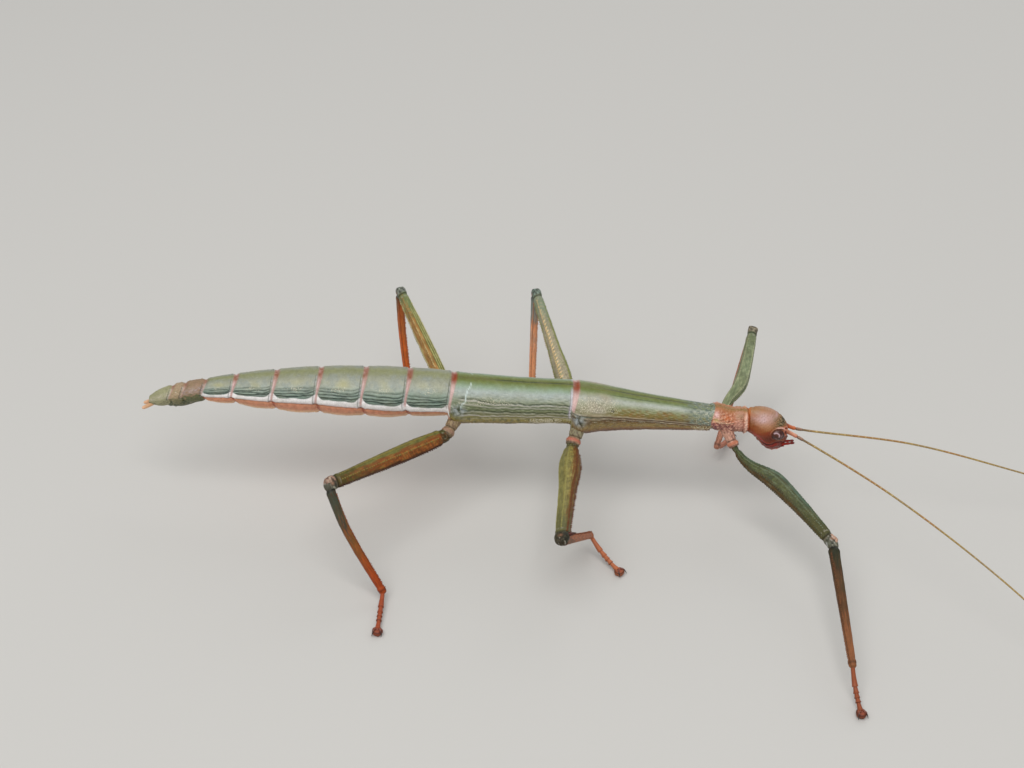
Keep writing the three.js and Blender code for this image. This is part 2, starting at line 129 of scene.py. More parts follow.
def spots(u, v):
    """A maker of spots over two coordinates: each, from a centre and a width along u and along v, is the
    bell over u times the bell over v."""
    return lambda at_u, wide_u, at_v, wide_v: hump(u, at_u, wide_u) * hump(v, at_v, wide_v)


def along(rows, position):
    """Smooth curve through rows of [position, value, value ...]: between two rows each value is a cubic
    whose slope at a row is that of the chord between the rows either side of it."""
    rows = np.asarray(rows, float)
    last = len(rows) - 1
    x = np.clip(position, rows[0, 0], rows[last, 0])
    i = np.clip(np.searchsorted(rows[:, 0], x, side="left") - 1, 0, last - 1)
    a, b = rows[i], rows[i + 1]
    before, after = rows[np.maximum(i - 1, 0)], rows[np.minimum(i + 2, last)]
    span = b[..., :1] - a[..., :1]
    s = (np.asarray(x)[..., None] - a[..., :1]) / span
    slope_a = (b - before) / (b[..., :1] - before[..., :1]) * span
    slope_b = (after - a) / (after[..., :1] - a[..., :1]) * span
    fall = b - a
    value = a + s * (slope_a + s * (3 * fall - 2 * slope_a - slope_b + s * (slope_a + slope_b - 2 * fall)))
    return np.moveaxis(value[..., 1:], -1, 0)


def smooth_curve(knots, turns, closed=False):
    """Centripetal Catmull-Rom curve through the knots at `turns`, shares of the knots passed: between two
    knots a cubic whose end slopes weigh the chords by the roots of the knots' distances."""
    knots = np.asarray(knots, float)
    count = len(knots)
    if closed:
        padded = np.vstack([knots[-1:], knots, knots[:2]])
        where = np.mod(turns, 1) * count
    else:
        padded = np.vstack([2 * knots[0] - knots[1], knots, 2 * knots[-1] - knots[-2]])
        where = np.clip(turns, 0, 1) * (count - 1)
    i = np.clip(np.floor(where).astype(int), 0, (count if closed else count - 1) - 1)
    t = (where - i)[..., None]
    p0, p1, p2, p3 = (padded[i + k] for k in range(4))
    chords = (p1 - p0, p2 - p1, p3 - p2)
    d0, d1, d2 = (np.linalg.norm(chord, axis=-1, keepdims=True) ** 0.5 for chord in chords)
    slope1 = ((p1 - p0) / d0 - (p2 - p0) / (d0 + d1) + (p2 - p1) / d1) * d1
    slope2 = ((p2 - p1) / d1 - (p3 - p1) / (d1 + d2) + (p3 - p2) / d2) * d1
    fall = p2 - p1
    return p1 + t * (slope1 + t * (3 * fall - 2 * slope1 - slope2 + t * (slope1 + slope2 - 2 * fall)))


def even_curve(knots, shares):
    """The open smooth curve at shares of its own length, by measuring a fine polyline of it."""
    fine = smooth_curve(knots, np.linspace(0, 1, 2001))
    length = np.concatenate([[0], np.cumsum(np.linalg.norm(np.diff(fine, axis=0), axis=1))])
    return np.stack([np.interp(shares * length[-1], length, fine[:, k]) for k in range(3)], -1)


def unit(vectors):
    """Vectors over their lengths."""
    return vectors / np.maximum(np.linalg.norm(vectors, axis=-1, keepdims=True), 1e-9)


def crowded(low, high, count, density):
    """`count` values from low to high whose spacing is the inverse of density(value): the running sum of
    the density, shared out evenly."""
    fine = np.linspace(low, high, 4001)
    total = np.concatenate([[0], np.cumsum(density((fine[1:] + fine[:-1]) / 2))])
    return np.interp(np.linspace(0, total[-1], count), total, fine)


# ---------------------------------------------------------------- meshes

def shells(rings, pigment, girth, flecks=0.0, pits=0.0):
    """Closed shells from an array (station, side, xyz) of rings in millimetres, or (shell, station, side,
    xyz). Quads join each ring to the next, a fan to the ring's mean closes each end, and a shell whose
    volume, the sum of a . (b x c) / 6 over its triangles, is negative is turned inside out. The map `lie`
    holds millimetres along the shell and round it. Pigment, flecks and pits are a colour and two numbers
    for every point."""
    rings = rings.reshape(-1, *rings.shape[-3:])
    count, n, m, _ = rings.shape
    co = np.concatenate([rings.reshape(count, n * m, 3), rings[:, [0, -1]].mean(2)], 1)
    i, j = np.meshgrid(np.arange(n - 1), np.arange(m), indexing="ij")
    k = np.arange(m)
    quad_row = np.stack([i, i, i + 1, i + 1], -1).reshape(-1, 4)
    quad_side = np.stack([j, j + 1, j + 1, j], -1).reshape(-1, 4)
    fan_row = np.repeat([[0] * 3, [n - 1] * 3], m, 0)
    fan_side = np.concatenate([np.stack([k + 0.5, k + 1, k], -1), np.stack([k + 0.5, k, k + 1], -1)])
    quads = quad_row * m + quad_side % m
    fans = fan_row * m + fan_side.astype(int) % m
    fans[:m, 0], fans[m:, 0] = n * m, n * m + 1
    triangles = np.concatenate([quads[:, :3], quads[:, [0, 2, 3]], fans])
    a, b, c = (co[:, triangles[:, corner]] for corner in range(3))
    hollow = np.einsum("kti,kti->k", a, np.cross(b, c)) < 0
    run = np.linalg.norm(np.diff(rings.mean(2), axis=1), axis=-1).cumsum(1)
    run = np.concatenate([np.zeros((count, 1)), run], 1)
    base = (np.arange(count) * co.shape[1])[:, None, None]
    faces = []
    for part, rows, sides in ((quads, quad_row, quad_side), (fans, fan_row, fan_side)):
        spread = np.stack([run[:, rows], np.broadcast_to(sides * girth / m, (count, *sides.shape))], -1)
        part = part + base
        turned = np.where(hollow[:, None, None], part[..., ::-1], part)
        spread = np.where(hollow[:, None, None, None], spread[:, :, ::-1], spread)
        faces.append((turned.reshape(-1, part.shape[-1]), spread.reshape(-1, 2)))
    marks = {}
    for name, value, tail in (("pigment", pigment, (3,)), ("flecks", flecks, ()), ("pits", pits, ())):
        value = np.broadcast_to(value, (count, n, m, *tail))
        ends = value[:, [0, -1]].mean(2)
        marks[name] = np.concatenate([value.reshape(count, n * m, *tail), ends], 1).reshape(-1, *tail)
    return SimpleNamespace(co=co.reshape(-1, 3), faces=faces, marks=marks)


def placed(name, data):
    """A new object in the scene that shows a mesh, a lamp or a camera."""
    made = bpy.data.objects.new(name, data)
    bpy.context.scene.collection.objects.link(made)
    return made


def piece(name, material, slot, nodes, *parts):
    """One object from shells: their points, faces, maps and marks end to end. It rides on the model's one
    body and stands for the solids it replaces."""
    starts = np.cumsum([0] + [len(part.co) for part in parts])
    mesh = bpy.data.meshes.new(name)
    points = in_frame(np.concatenate([part.co for part in parts]))
    faces = [part.faces[kind][0] + start for kind in (0, 1) for part, start in zip(parts, starts)]
    lie = np.concatenate([part.faces[kind][1] for kind in (0, 1) for part in parts])
    corners = np.concatenate([face.ravel() for face in faces])
    sizes = np.concatenate([np.full(len(face), face.shape[1]) for face in faces])
    mesh.vertices.add(len(points))
    mesh.vertices.foreach_set("co", points.ravel())
    mesh.loops.add(len(corners))
    mesh.loops.foreach_set("vertex_index", corners.astype(np.int32))
    mesh.polygons.add(len(sizes))
    mesh.polygons.foreach_set("loop_start", np.concatenate([[0], np.cumsum(sizes)[:-1]]).astype(np.int32))
    mesh.polygons.foreach_set("use_smooth", np.ones(len(sizes), bool))
    mesh.update(calc_edges=True)
    mesh.uv_layers.new(name="lie").data.foreach_set("uv", lie.ravel())
    for mark in parts[0].marks:
        value = np.concatenate([part.marks[mark] for part in parts])
        kind, field = "FLOAT", "value"
        if mark == "pigment":
            value = np.concatenate([value, np.ones((len(value), 1))], 1)
            kind, field = "FLOAT_COLOR", "color"
        mesh.attributes.new(mark, kind, "POINT").data.foreach_set(field, value.ravel())
    mesh.materials.append(material)
    made = placed(name, mesh)
    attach(made, "root")
    if nodes:
        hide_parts(*nodes)


def push_out(rings, relief):
    """Each point moved by its relief along the outward normal, which is the cross product of the rings'
    central differences along and round the shell, turned away from the shell's middle."""
    lengthwise = np.gradient(rings, axis=0)
    sideways = np.roll(rings, -1, 1) - np.roll(rings, 1, 1)
    normal = unit(np.cross(lengthwise, sideways))
    outward = np.sign(np.sum(normal * (rings - rings.mean(1, keepdims=True)), axis=(0, 1, 2)))
    return rings + normal * outward * relief[..., None]


# ---------------------------------------------------------------- materials

def fill(tree, node, inputs):
    """Puts values, or links from sockets, into a node's inputs."""
    for key, value in inputs.items():
        if isinstance(value, bpy.types.NodeSocket):
            tree.links.new(value, node.inputs[key])
        else:
            node.inputs[key].default_value = value


def add(tree, kind, inputs=None, **settings):
    """A new node: `settings` are its properties, and `inputs` maps its sockets to values or to sockets."""
    made = tree.nodes.new("ShaderNode" + kind)
    for key, value in settings.items():
        setattr(made, key, value)
    fill(tree, made, inputs or {})
    return made


def maths(tree, operation, *values):
    """Result of a maths node on values or sockets."""
    return add(tree, "Math", dict(enumerate(values)), operation=operation).outputs[0]


def noise(tree, vector, scale, detail, roughness):
    """A noise, from 0 to 1."""
    inputs = {"Vector": vector, "Scale": scale, "Detail": detail, "Roughness": roughness}
    return add(tree, "TexNoise", inputs).outputs["Fac"]


def mapped(tree, value, low, high, least=0.0, most=1.0):
    """A value stretched from low..high to least..most and held there."""
    inputs = {"Value": value, "From Min": low, "From Max": high, "To Min": least, "To Max": most}
    return add(tree, "MapRange", inputs).outputs[0]


def blend(tree, share, colour, other):
    """A colour that turns to another by a share."""
    return add(tree, "Mix", {0: share, 6: colour, 7: other}, data_type="RGBA").outputs[2]


def group(name, inputs, output, kind):
    """An empty shader group with named inputs, each a kind and a value, and one output: returns the tree,
    its inputs as sockets and its output node."""
    tree = bpy.data.node_groups.new(name, "ShaderNodeTree")
    for key, value in inputs.items():
        known = isinstance(value, float)
        sort = "NodeSocket" + ("Float" if known else value)
        socket = tree.interface.new_socket(key, in_out="INPUT", socket_type=sort)
        if known:
            socket.default_value = value
    tree.interface.new_socket(output, in_out="OUTPUT", socket_type="NodeSocket" + kind)
    return tree, tree.nodes.new("NodeGroupInput").outputs, tree.nodes.new("NodeGroupOutput")


def mottle_group():
    """Living colour: two sizes of noise lighten and darken it by `Amount`, and a third, larger one leans it
    towards a second tint by `Lean`."""
    inputs = {"Color": "Color", "Vector": "Vector", "Size": 1.0, "Amount": 0.2, "Tint": "Color", "Lean": 0.2}
    tree, given, result = group("mottle", inputs, "Color", "Color")
    scale = maths(tree, "DIVIDE", 1.0, given["Size"])
    scales = (scale, maths(tree, "MULTIPLY", scale, 3.7), maths(tree, "MULTIPLY", scale, 0.31))
    middle, fine, wide = (noise(tree, given["Vector"], size, 3.0, 0.6) for size in scales)
    centred = maths(tree, "SUBTRACT", maths(tree, "ADD", middle, fine), 1.0)
    level = maths(tree, "MULTIPLY_ADD", centred, given["Amount"], 1.0)
    lit = add(tree, "VectorMath", {0: given["Color"], "Scale": level}, operation="SCALE").outputs[0]
    share = mapped(tree, wide, 0.42, 0.7, 0.0, given["Lean"])
    fill(tree, result, {"Color": blend(tree, share, lit, given["Tint"])})
    return tree


def flecks_group():
    """Small ragged flecks: rounded cells whose distance from their middles, made uneven by noise, is under
    a radius that grows with `Cover`."""
    tree, given, result = group("flecks", {"Vector": "Vector", "Size": 0.3, "Cover": 0.5}, "Mask", "Float")
    scale = maths(tree, "DIVIDE", 1.0, given["Size"])
    cells = add(tree, "TexVoronoi", {"Vector": given["Vector"], "Scale": scale}).outputs["Distance"]
    bend = noise(tree, given["Vector"], maths(tree, "MULTIPLY", scale, 1.6), 2.0, 0.5)
    uneven = maths(tree, "MULTIPLY_ADD", bend, 0.9, cells)
    radius = maths(tree, "MULTIPLY_ADD", given["Cover"], 0.75, 0.32)
    edge = mapped(tree, maths(tree, "SUBTRACT", radius, uneven), -0.04, 0.06)
    any_cover = maths(tree, "GREATER_THAN", given["Cover"], 0.02)
    fill(tree, result, {"Mask": maths(tree, "MULTIPLY", edge, any_cover)})
    return tree


def creases_group():
    """Fine relief of cuticle: noise drawn out along the `lie` map by `Stretch`, and round noise under it."""
    inputs = {"Lie": "Vector", "Vector": "Vector", "Size": 0.4, "Stretch": 6.0}
    tree, given, result = group("creases", inputs, "Height", "Float")
    ratio = add(tree, "CombineXYZ", {"X": maths(tree, "DIVIDE", 1.0, given["Stretch"]), "Y": 1.0, "Z": 1.0})
    drawn = add(tree, "VectorMath", {0: given["Lie"], 1: ratio.outputs[0]}, operation="MULTIPLY").outputs[0]
    scale = maths(tree, "DIVIDE", 1.0, given["Size"])
    lines = noise(tree, drawn, scale, 3.0, 0.5)
    grain = noise(tree, given["Vector"], maths(tree, "MULTIPLY", scale, 1000.0), 3.0, 0.6)
    fill(tree, result, {"Height": maths(tree, "MULTIPLY_ADD", grain, 0.6, lines)})
    return tree


def grouped(tree, nodes, inputs):
    """The result of a shader group on inputs."""
    made = add(tree, "Group", node_tree=nodes)
    fill(tree, made, inputs)
    return made.outputs[0]


MOTTLE, FLECKS, CREASES = mottle_group(), flecks_group(), creases_group()
PIT_TINT = (22, 17, 12)


def cuticle(name, roughness, tint, lean=0.25, tone=0.5, fleck_tint=(74, 72, 56), fleck_size=0.28,
            crease_size=0.3, stretch=5.0, crease_depth=0.05, coat=0.0, shine=0.5):
    """Insect skin over its `pigment`: mottled, with pale flecks where the mark `flecks` and dark pits where
    the mark `pits` say, a roughness that wanders, and creases that follow the lie. Sizes are millimetres."""
    material = bpy.data.materials.new(name)
    material.use_nodes = True
    tree = material.node_tree
    place = add(tree, "TexCoord").outputs["Object"]
    lie = add(tree, "UVMap", uv_map="lie").outputs["UV"]
    pigment = add(tree, "Attribute", attribute_name="pigment").outputs["Color"]
    skin = grouped(tree, MOTTLE, {
        "Color": pigment, "Vector": place, "Size": 0.9 * MM, "Amount": tone, "Tint": (*linear(tint), 1),
        "Lean": lean,
    })
    for mark, size, dot_tint in (("flecks", fleck_size, fleck_tint), ("pits", 0.9 * fleck_size, PIT_TINT)):
        cover = add(tree, "Attribute", attribute_name=mark).outputs["Fac"]
        dots = grouped(tree, FLECKS, {"Vector": place, "Size": size * MM, "Cover": cover})
        skin = blend(tree, dots, skin, (*linear(dot_tint), 1))
    height = grouped(tree, CREASES, {"Lie": lie, "Vector": place, "Size": crease_size, "Stretch": stretch})
    bump = add(tree, "Bump", {"Strength": 1.0, "Distance": crease_depth * MM, "Height": height}).outputs[0]
    wander = mapped(tree, height, 0.5, 1.1, roughness - 0.08, roughness + 0.12)
    fill(tree, tree.nodes["Principled BSDF"], {
        "Base Color": skin, "Normal": bump, "Specular IOR Level": shine, "Coat Weight": coat,
        "Coat Roughness": 0.25, "Roughness": wander,
    })
    return material


# ---------------------------------------------------------------- trunk

AXIS_HEIGHT, TRUNK_SLOPE = 22.3, -0.0356
# Cross-sections of the trunk: x, half width, half height, centre above the sloping axis.
TRUNK_SECTIONS = [
    [-65.0, 0.75, 0.75, -5.5], [-63.4, 1.35, 1.25, -4.75], [-60.6, 1.85, 1.75, -3.75],
    [-57.6, 2.05, 1.95, -2.9], [-53.9, 2.15, 2.05, -1.95], [-47.8, 2.9, 2.75, -1.15],
    [-39.6, 4.0, 3.8, -0.65], [-30.7, 4.65, 4.45, 0.0], [-21.7, 5.0, 4.8, 0.4], [-12.9, 4.95, 4.7, 0.85],
    [-4.4, 4.6, 4.3, 1.2], [-3.9, 5.1, 5.0, 0.35], [3.0, 5.0, 4.9, 0.3], [11.0, 4.75, 4.6, 0.5],
    [20.3, 4.6, 4.4, 0.85], [20.6, 5.0, 4.9, 0.25], [22.8, 5.4, 5.2, -0.15], [27.0, 4.8, 4.7, -0.1],
    [34.7, 3.85, 3.75, -0.3], [43.0, 3.15, 3.05, -0.6], [48.5, 2.75, 2.65, -0.8], [48.8, 2.6, 2.5, -0.45],
    [50.2, 2.8, 2.65, -0.5], [53.0, 2.55, 2.35, -0.75], [55.8, 2.62, 2.5, -0.88], [56.4, 2.3, 2.2, -0.9],
]
# Courses along the trunk, in degrees of elevation: the white stripe, and the seam of the mesothorax.
STRIPE_COURSE = [[-65, 0], [-54, 0], [-48, 3], [-40, 5], [-31, 5], [-22, 0], [-13, -8], [-4, -14]]
SEAM_COURSE = [[20, 15], [21.8, 14.5], [34, 9], [48, -3], [49, -4]]
BACK_LEAN, BELLY_LEAN = 0.8, 0.9  # the joints lean forward by this much towards the back and the belly
TERGITE_BULGE, STERNITE_BULGE = 0.12, 0.5
TRUNK_STATIONS, TRUNK_SIDES, TRUNK_GIRTH = 650, 148, 31.0
# Furrows over the stripe: degrees above it, seed and weight.
FURROWS = ((12.5, 3, 1.2), (19.5, 5, 1.0), (27.0, 8, 0.9), (34.5, 9, 0.6))
FOLD_COURSE = (27, 20, 13, 5, -3, -11)
# Sockets of the coxas: x, half length, elevation and lift.
SOCKETS = ((22.2, 1.5, -18, 0.35), (-2.2, 1.6, -14, 0.3), (52.4, 1.3, -35, 0.5))


def axis_height(x):
    """Height of the trunk's axis: its height at the waist plus the slope times x."""
    return AXIS_HEIGHT + TRUNK_SLOPE * x


def trunk_grid():
    """Stations along the trunk, closer together at the joints and on the collar, and angles round it,
    closer together on the flanks. Returns x and the angle for every point."""
    joints = np.append(RING_JOINTS, (THORAX_JOINT, COLLAR_JOINT))
    stations = crowded(
        RING_JOINTS[-1] + GAP / 2, TRUNK_SECTIONS[-1][0], TRUNK_STATIONS,
        lambda x: 1 + 1.3 * sum(hump(x, joint, 0.9) for joint in joints) + 0.9 * step(47, 49, x))
    turns = crowded(
        -90, 270, TRUNK_SIDES + 1,
        lambda a: 1 + 0.7 * hump(np.degrees(np.arcsin(np.sin(np.radians(a)))), 8, 30))[:-1]
    return np.meshgrid(stations, np.radians(turns), indexing="ij")


def trunk_zones(x, angle):
    """Where each point lies: elevation, distance from its leaning joint, share along its ring and its ring's
    number, how much it belongs to each length of the trunk and to the thorax joint, its height above the
    stripe's middle, and the unevenness of its place."""
    up = np.degrees(np.arcsin(np.sin(angle)))
    side = -np.sign(np.cos(angle) + 1e-9)
    leaned = x - BACK_LEAN * np.maximum(np.sin(angle), 0) ** 1.5 - BELLY_LEAN * np.maximum(-np.sin(angle), 0)
    ring = np.clip((leaned[..., None] < RING_JOINTS).sum(-1) - 1, 0, len(RING_JOINTS) - 2)
    joints = np.append(RING_JOINTS[:-1], THORAX_JOINT)
    offsets = leaned[..., None] - joints
    nearest = np.abs(offsets).argmin(-1)
    round_place = up * 0.085 + 50 * side
    return SimpleNamespace(
        x=x, up=up, side=side, ring=ring, joint=joints[nearest], thorax=step(18, 20, joints[nearest]),
        share=(leaned - RING_JOINTS[ring + 1]) / (RING_JOINTS[ring] - RING_JOINTS[ring + 1]),
        offset=np.take_along_axis(offsets, nearest[..., None], -1)[..., 0],
        abdomen=1 - step(WAIST - 0.05, WAIST + 0.05, leaned),
        meta=plateau(leaned, WAIST, THORAX_JOINT, 0.08),
        meso=plateau(leaned, THORAX_JOINT, COLLAR_JOINT, 0.08),
        collar=step(COLLAR_JOINT - 0.08, COLLAR_JOINT + 0.08, leaned),
        above=up - along(STRIPE_COURSE, x)[0],
        cloud=ripple(x, round_place, 4.5, 51), fine=ripple(x, round_place, 1.1, 52),
        finest=ripple(x, round_place, 0.45, 53), grain=ripple(x * 0.25, round_place, 0.32, 54),
        wrinkle=ripple(x, up * 0.05 + 10 * side, 0.85, 43, 20),
        fine_wrinkle=ripple(x, up * 0.05 + 10 * side, 0.38, 44, 20),
    )


def trunk_marks(at):
    """Masks of the trunk's markings and folds, each from 0 to 1, from the zones of its points."""
    x, up, above, share, ring, side = at.x, at.up, at.above, at.share, at.ring, at.side
    meta, meso = at.meta, at.meso
    waver = ripple(x, up * 0.09 + 40 * side, 2.2, 11)
    early_rings = at.abdomen * (1 - step(5.4, 5.6, ring))
    in_ring = step(0.0, 0.09, share) * (1 - step(0.9, 0.99, share)) * early_rings
    tail = step(-49, -51, x)
    reach = (0.22 + 0.24 * step(20, 75, up)) * (1 - 0.55 * tail) * (1 + 0.45 * at.thorax)
    fade = step(-8, 4, up - 22 * at.thorax) * (1 - 0.4 * tail)
    ragged = step(-0.3, 0.9, ripple(x * 2, up * 0.12 + 20 * side, 1.3, 12))
    spotted = np.select([at.joint > 20, at.joint > -5, at.joint > -14], [1.0, 1.0, 0.7], 0.3)
    peak = 13 * hump(at.offset, 0, 0.95)
    stripe = step(-9.5, -8.3, above) * (1 - step(5.2 + peak, 6.8 + peak, above + 0.5 * waver)) * early_rings
    furrows, ridges, folds, fold_ridges = np.zeros((4, *x.shape))
    for row, (rise, seed, weight) in enumerate(FURROWS):
        line = rise + 0.8 * ripple(x, side * 30, 5.0, seed) + 0.25 * ripple(x, side * 30, 1.3, seed + 20)
        line = line + 7 * hump(share, 1.0, 0.14)
        broken = 0.75 + 0.25 * step(-0.7, 0.2, ripple(x, row * 9.0 + side * 30, 2.4, seed + 30))
        furrows += weight * broken * hump(above, line, 2.0)
        ridges += weight * hump(above, line + 3.6, 1.4)
    for row, start in enumerate(FOLD_COURSE):
        line = start + (9 - 2 * row) * hump(x, -2, 4.5) + 0.9 * ripple(x, row * 17.0, 4.5, 31) \
            + 0.5 * ripple(x, row * 13.0, 1.2, 32)
        folds = np.maximum(folds, hump(up, line, 1.8) * (0.6 + 0.4 * np.cos(row * 2.1)))
        ridge = hump(up, line - 3.6, 1.6) * (0.55 + 0.5 * np.sin(row * 1.7 + 1))
        fold_ridges = np.maximum(fold_ridges, ridge)
    seam_line = along(SEAM_COURSE, x)[0] + 0.7 * waver
    second_line = seam_line - 7 - 0.12 * (x - 34)
    knots = hump(x, -2.4, 1.6) * hump(up, 6, 13) * meta + hump(x, 21.9, 1.3) * hump(up, 2, 15) * meso
    along_meta = meta * step(-2.6, -1.2, x)
    return SimpleNamespace(
        membrane=plateau(at.offset, -reach + 0.1, reach + 0.1, 0.1) * fade * (1 - at.collar),
        joint_edge=hump(at.offset, -reach - 0.12, 0.13 + 0.1 * at.thorax) * step(-20, 5, up)
        * step(84, 60, up) * np.maximum(ragged, at.thorax),
        joint_line=hump(at.offset, -reach - 0.28, 0.09) * step(-12, 0, up) * step(88, 60, up),
        spot=spotted * np.exp(-(((up - 90) / 19) ** 4) - ((at.offset - 0.1) / 0.62) ** 4),
        stripe=stripe * (1 - 0.5 * step(4.6, 5.4, ring) * (1 - step(0.3, 0.6, share))),
        # painted shadow: a dark line along the upper edge of the raised stripe
        stripe_shadow_line=hump(above + 0.5 * waver, 8.0 + peak, 1.1) * in_ring,
        belly=(1 - step(-10.5, -9.3, above)) * early_rings,
        furrow=np.minimum(furrows * in_ring, 1), furrow_ridge=np.minimum(ridges * in_ring, 1),
        suture=meta * hump(x, -1.5 + 1.6 * (up - 12) / 58 + 0.12 * waver, 0.11) * plateau(up, 8, 74, 4),
        fold=folds * along_meta, fold_ridge=fold_ridges * along_meta,
        pleura=meta * (1 - step(-15, -11, up + 0.6 * waver)),
        seam=meso * hump(up, seam_line, 1.5), second_seam=meso * hump(up, second_line, 1.3) * step(24, 30, x),
        seam_ridge=meso * (hump(up, seam_line + 4.6, 1.9) + 0.8 * hump(up, seam_line - 3.4, 1.6)),
        under=meso * (1 - step(seam_line - 3, seam_line, up)),
        midline=hump(up, 90, 1.6) * (meta * step(2, 7, x) + meso * step(25, 30, x)),
        upper_line=hump(up, 73 - 0.2 * (x - 30), 1.2) * meso * step(26, 30, x),
        knot=np.minimum(1.3 * knots, 1),
    )


def trunk_relief(at, on):
    """Height of the skin over the plain section: plates that swell between joints, sunken membranes with
    raised rims, the stripe's flange over a groove, furrows, folds, pleural rolls and the collar."""
    x, up = at.x, at.up
    spot = spots(x, up)
    arch = np.sin(np.pi * np.clip(at.share, 0, 1)) * at.abdomen
    belly_side = np.clip(-np.sin(np.radians(up)), 0, 1)
    joint = hump(at.offset, 0.05, 0.42)
    rims = hump(at.offset, -0.75, 0.28) + hump(at.offset, 0.9, 0.25)
    creases = 0.05 * ripple(x, up * 0.08 + 60 * at.side, 0.9, 41) + 0.05 * ripple(x, up * 0.08, 3.0, 42)
    collar = (
        (0.05 * at.wrinkle + 0.03 * at.fine_wrinkle) * (1 - 0.8 * step(50, 80, up))
        - 0.12 * hump(x, 48.75, 0.2) + 0.12 * hump(up, 12, 6) * plateau(x, 49.5, 53, 0.8)
        - 0.14 * hump(up, 2, 4) * plateau(x, 49.2, 53.4, 0.8)
        + 0.16 * spot(50.0, 0.8, 45, 16) + 0.14 * spot(51.9, 0.8, 33, 12)
        - 0.14 * hump(x, 53.3, 0.3) * step(70, 45, up) + 0.14 * hump(x, 55.7, 0.3) * step(78, 40, up)
        - 0.10 * hump(x, 55.1, 0.22) * step(85, 60, up)
    )
    return (
        arch * (TERGITE_BULGE + (STERNITE_BULGE - TERGITE_BULGE) * belly_side)
        + (0.06 * rims - 0.2 * joint) * (1 - at.collar)
        + 0.13 * on.stripe * hump(at.above, 0, 8) - 0.2 * hump(at.above, -11.5, 2.4) * on.belly
        - 0.15 * on.furrow + 0.06 * on.furrow_ridge - 0.16 * on.fold + 0.08 * on.fold_ridge - 0.08 * on.suture
        + 0.16 * at.meta * hump(up, -28, 14) - 0.15 * (on.seam + on.second_seam) + 0.07 * on.seam_ridge
        + 0.12 * at.meso * hump(up, -25, 14) * hump(x, 24.5, 3.0) - 0.05 * (on.midline + on.upper_line)
        + sum(hump(x, place, wide) * hump(up, low, 20) * lift for place, wide, low, lift in SOCKETS)
        + 0.16 * on.knot * (at.wrinkle + 0.5 * at.fine_wrinkle)
        + creases * (0.35 + 0.5 * at.collar + 0.5 * on.pleura + 0.3 * on.under) + at.collar * collar
    )


# Tints of the plates from the belly up to the middle of the back, as [elevation, red, green, blue].
# The pale grey-blue rows near 40 to 65 degrees in these tables are a painted sheen: the sky's painted
# reflection.
ABDOMEN_BANDS = [
    [-90, 50, 38, 28], [0, 50, 57, 51], [25, 54, 61, 55], [41, 62, 65, 59],
    [58, 61, 62, 55], [72, 57, 58, 50], [80, 55, 56, 44], [90, 53, 54, 38],
]
METATHORAX_BANDS = [
    [-90, 38, 24, 16], [-43, 34, 22, 11], [-33, 52, 42, 19], [-14, 59, 55, 30],
    [0, 49, 49, 34], [13, 44, 48, 33], [32, 56, 59, 50], [51, 64, 68, 65],
    [64, 55, 62, 52], [74, 47, 53, 35], [82, 40, 44, 18], [90, 36, 37, 12],
]
MESOTHORAX_BANDS = [
    [-90, 36, 18, 13], [-42, 38, 16, 8], [-28, 52, 34, 16], [-12, 60, 50, 26],
    [6, 35, 24, 9], [22, 49, 45, 23], [38, 54, 56, 41], [56, 70, 72, 67],
    [66, 57, 61, 50], [76, 43, 48, 25], [84, 39, 42, 15], [90, 38, 40, 13],
]
COLLAR_BANDS = [
    [-90, 40, 22, 16], [-40, 52, 30, 25], [-12, 70, 45, 40], [6, 72, 45, 37],
    [30, 80, 53, 40], [55, 74, 47, 32], [75, 66, 43, 25], [90, 56, 41, 20],
]


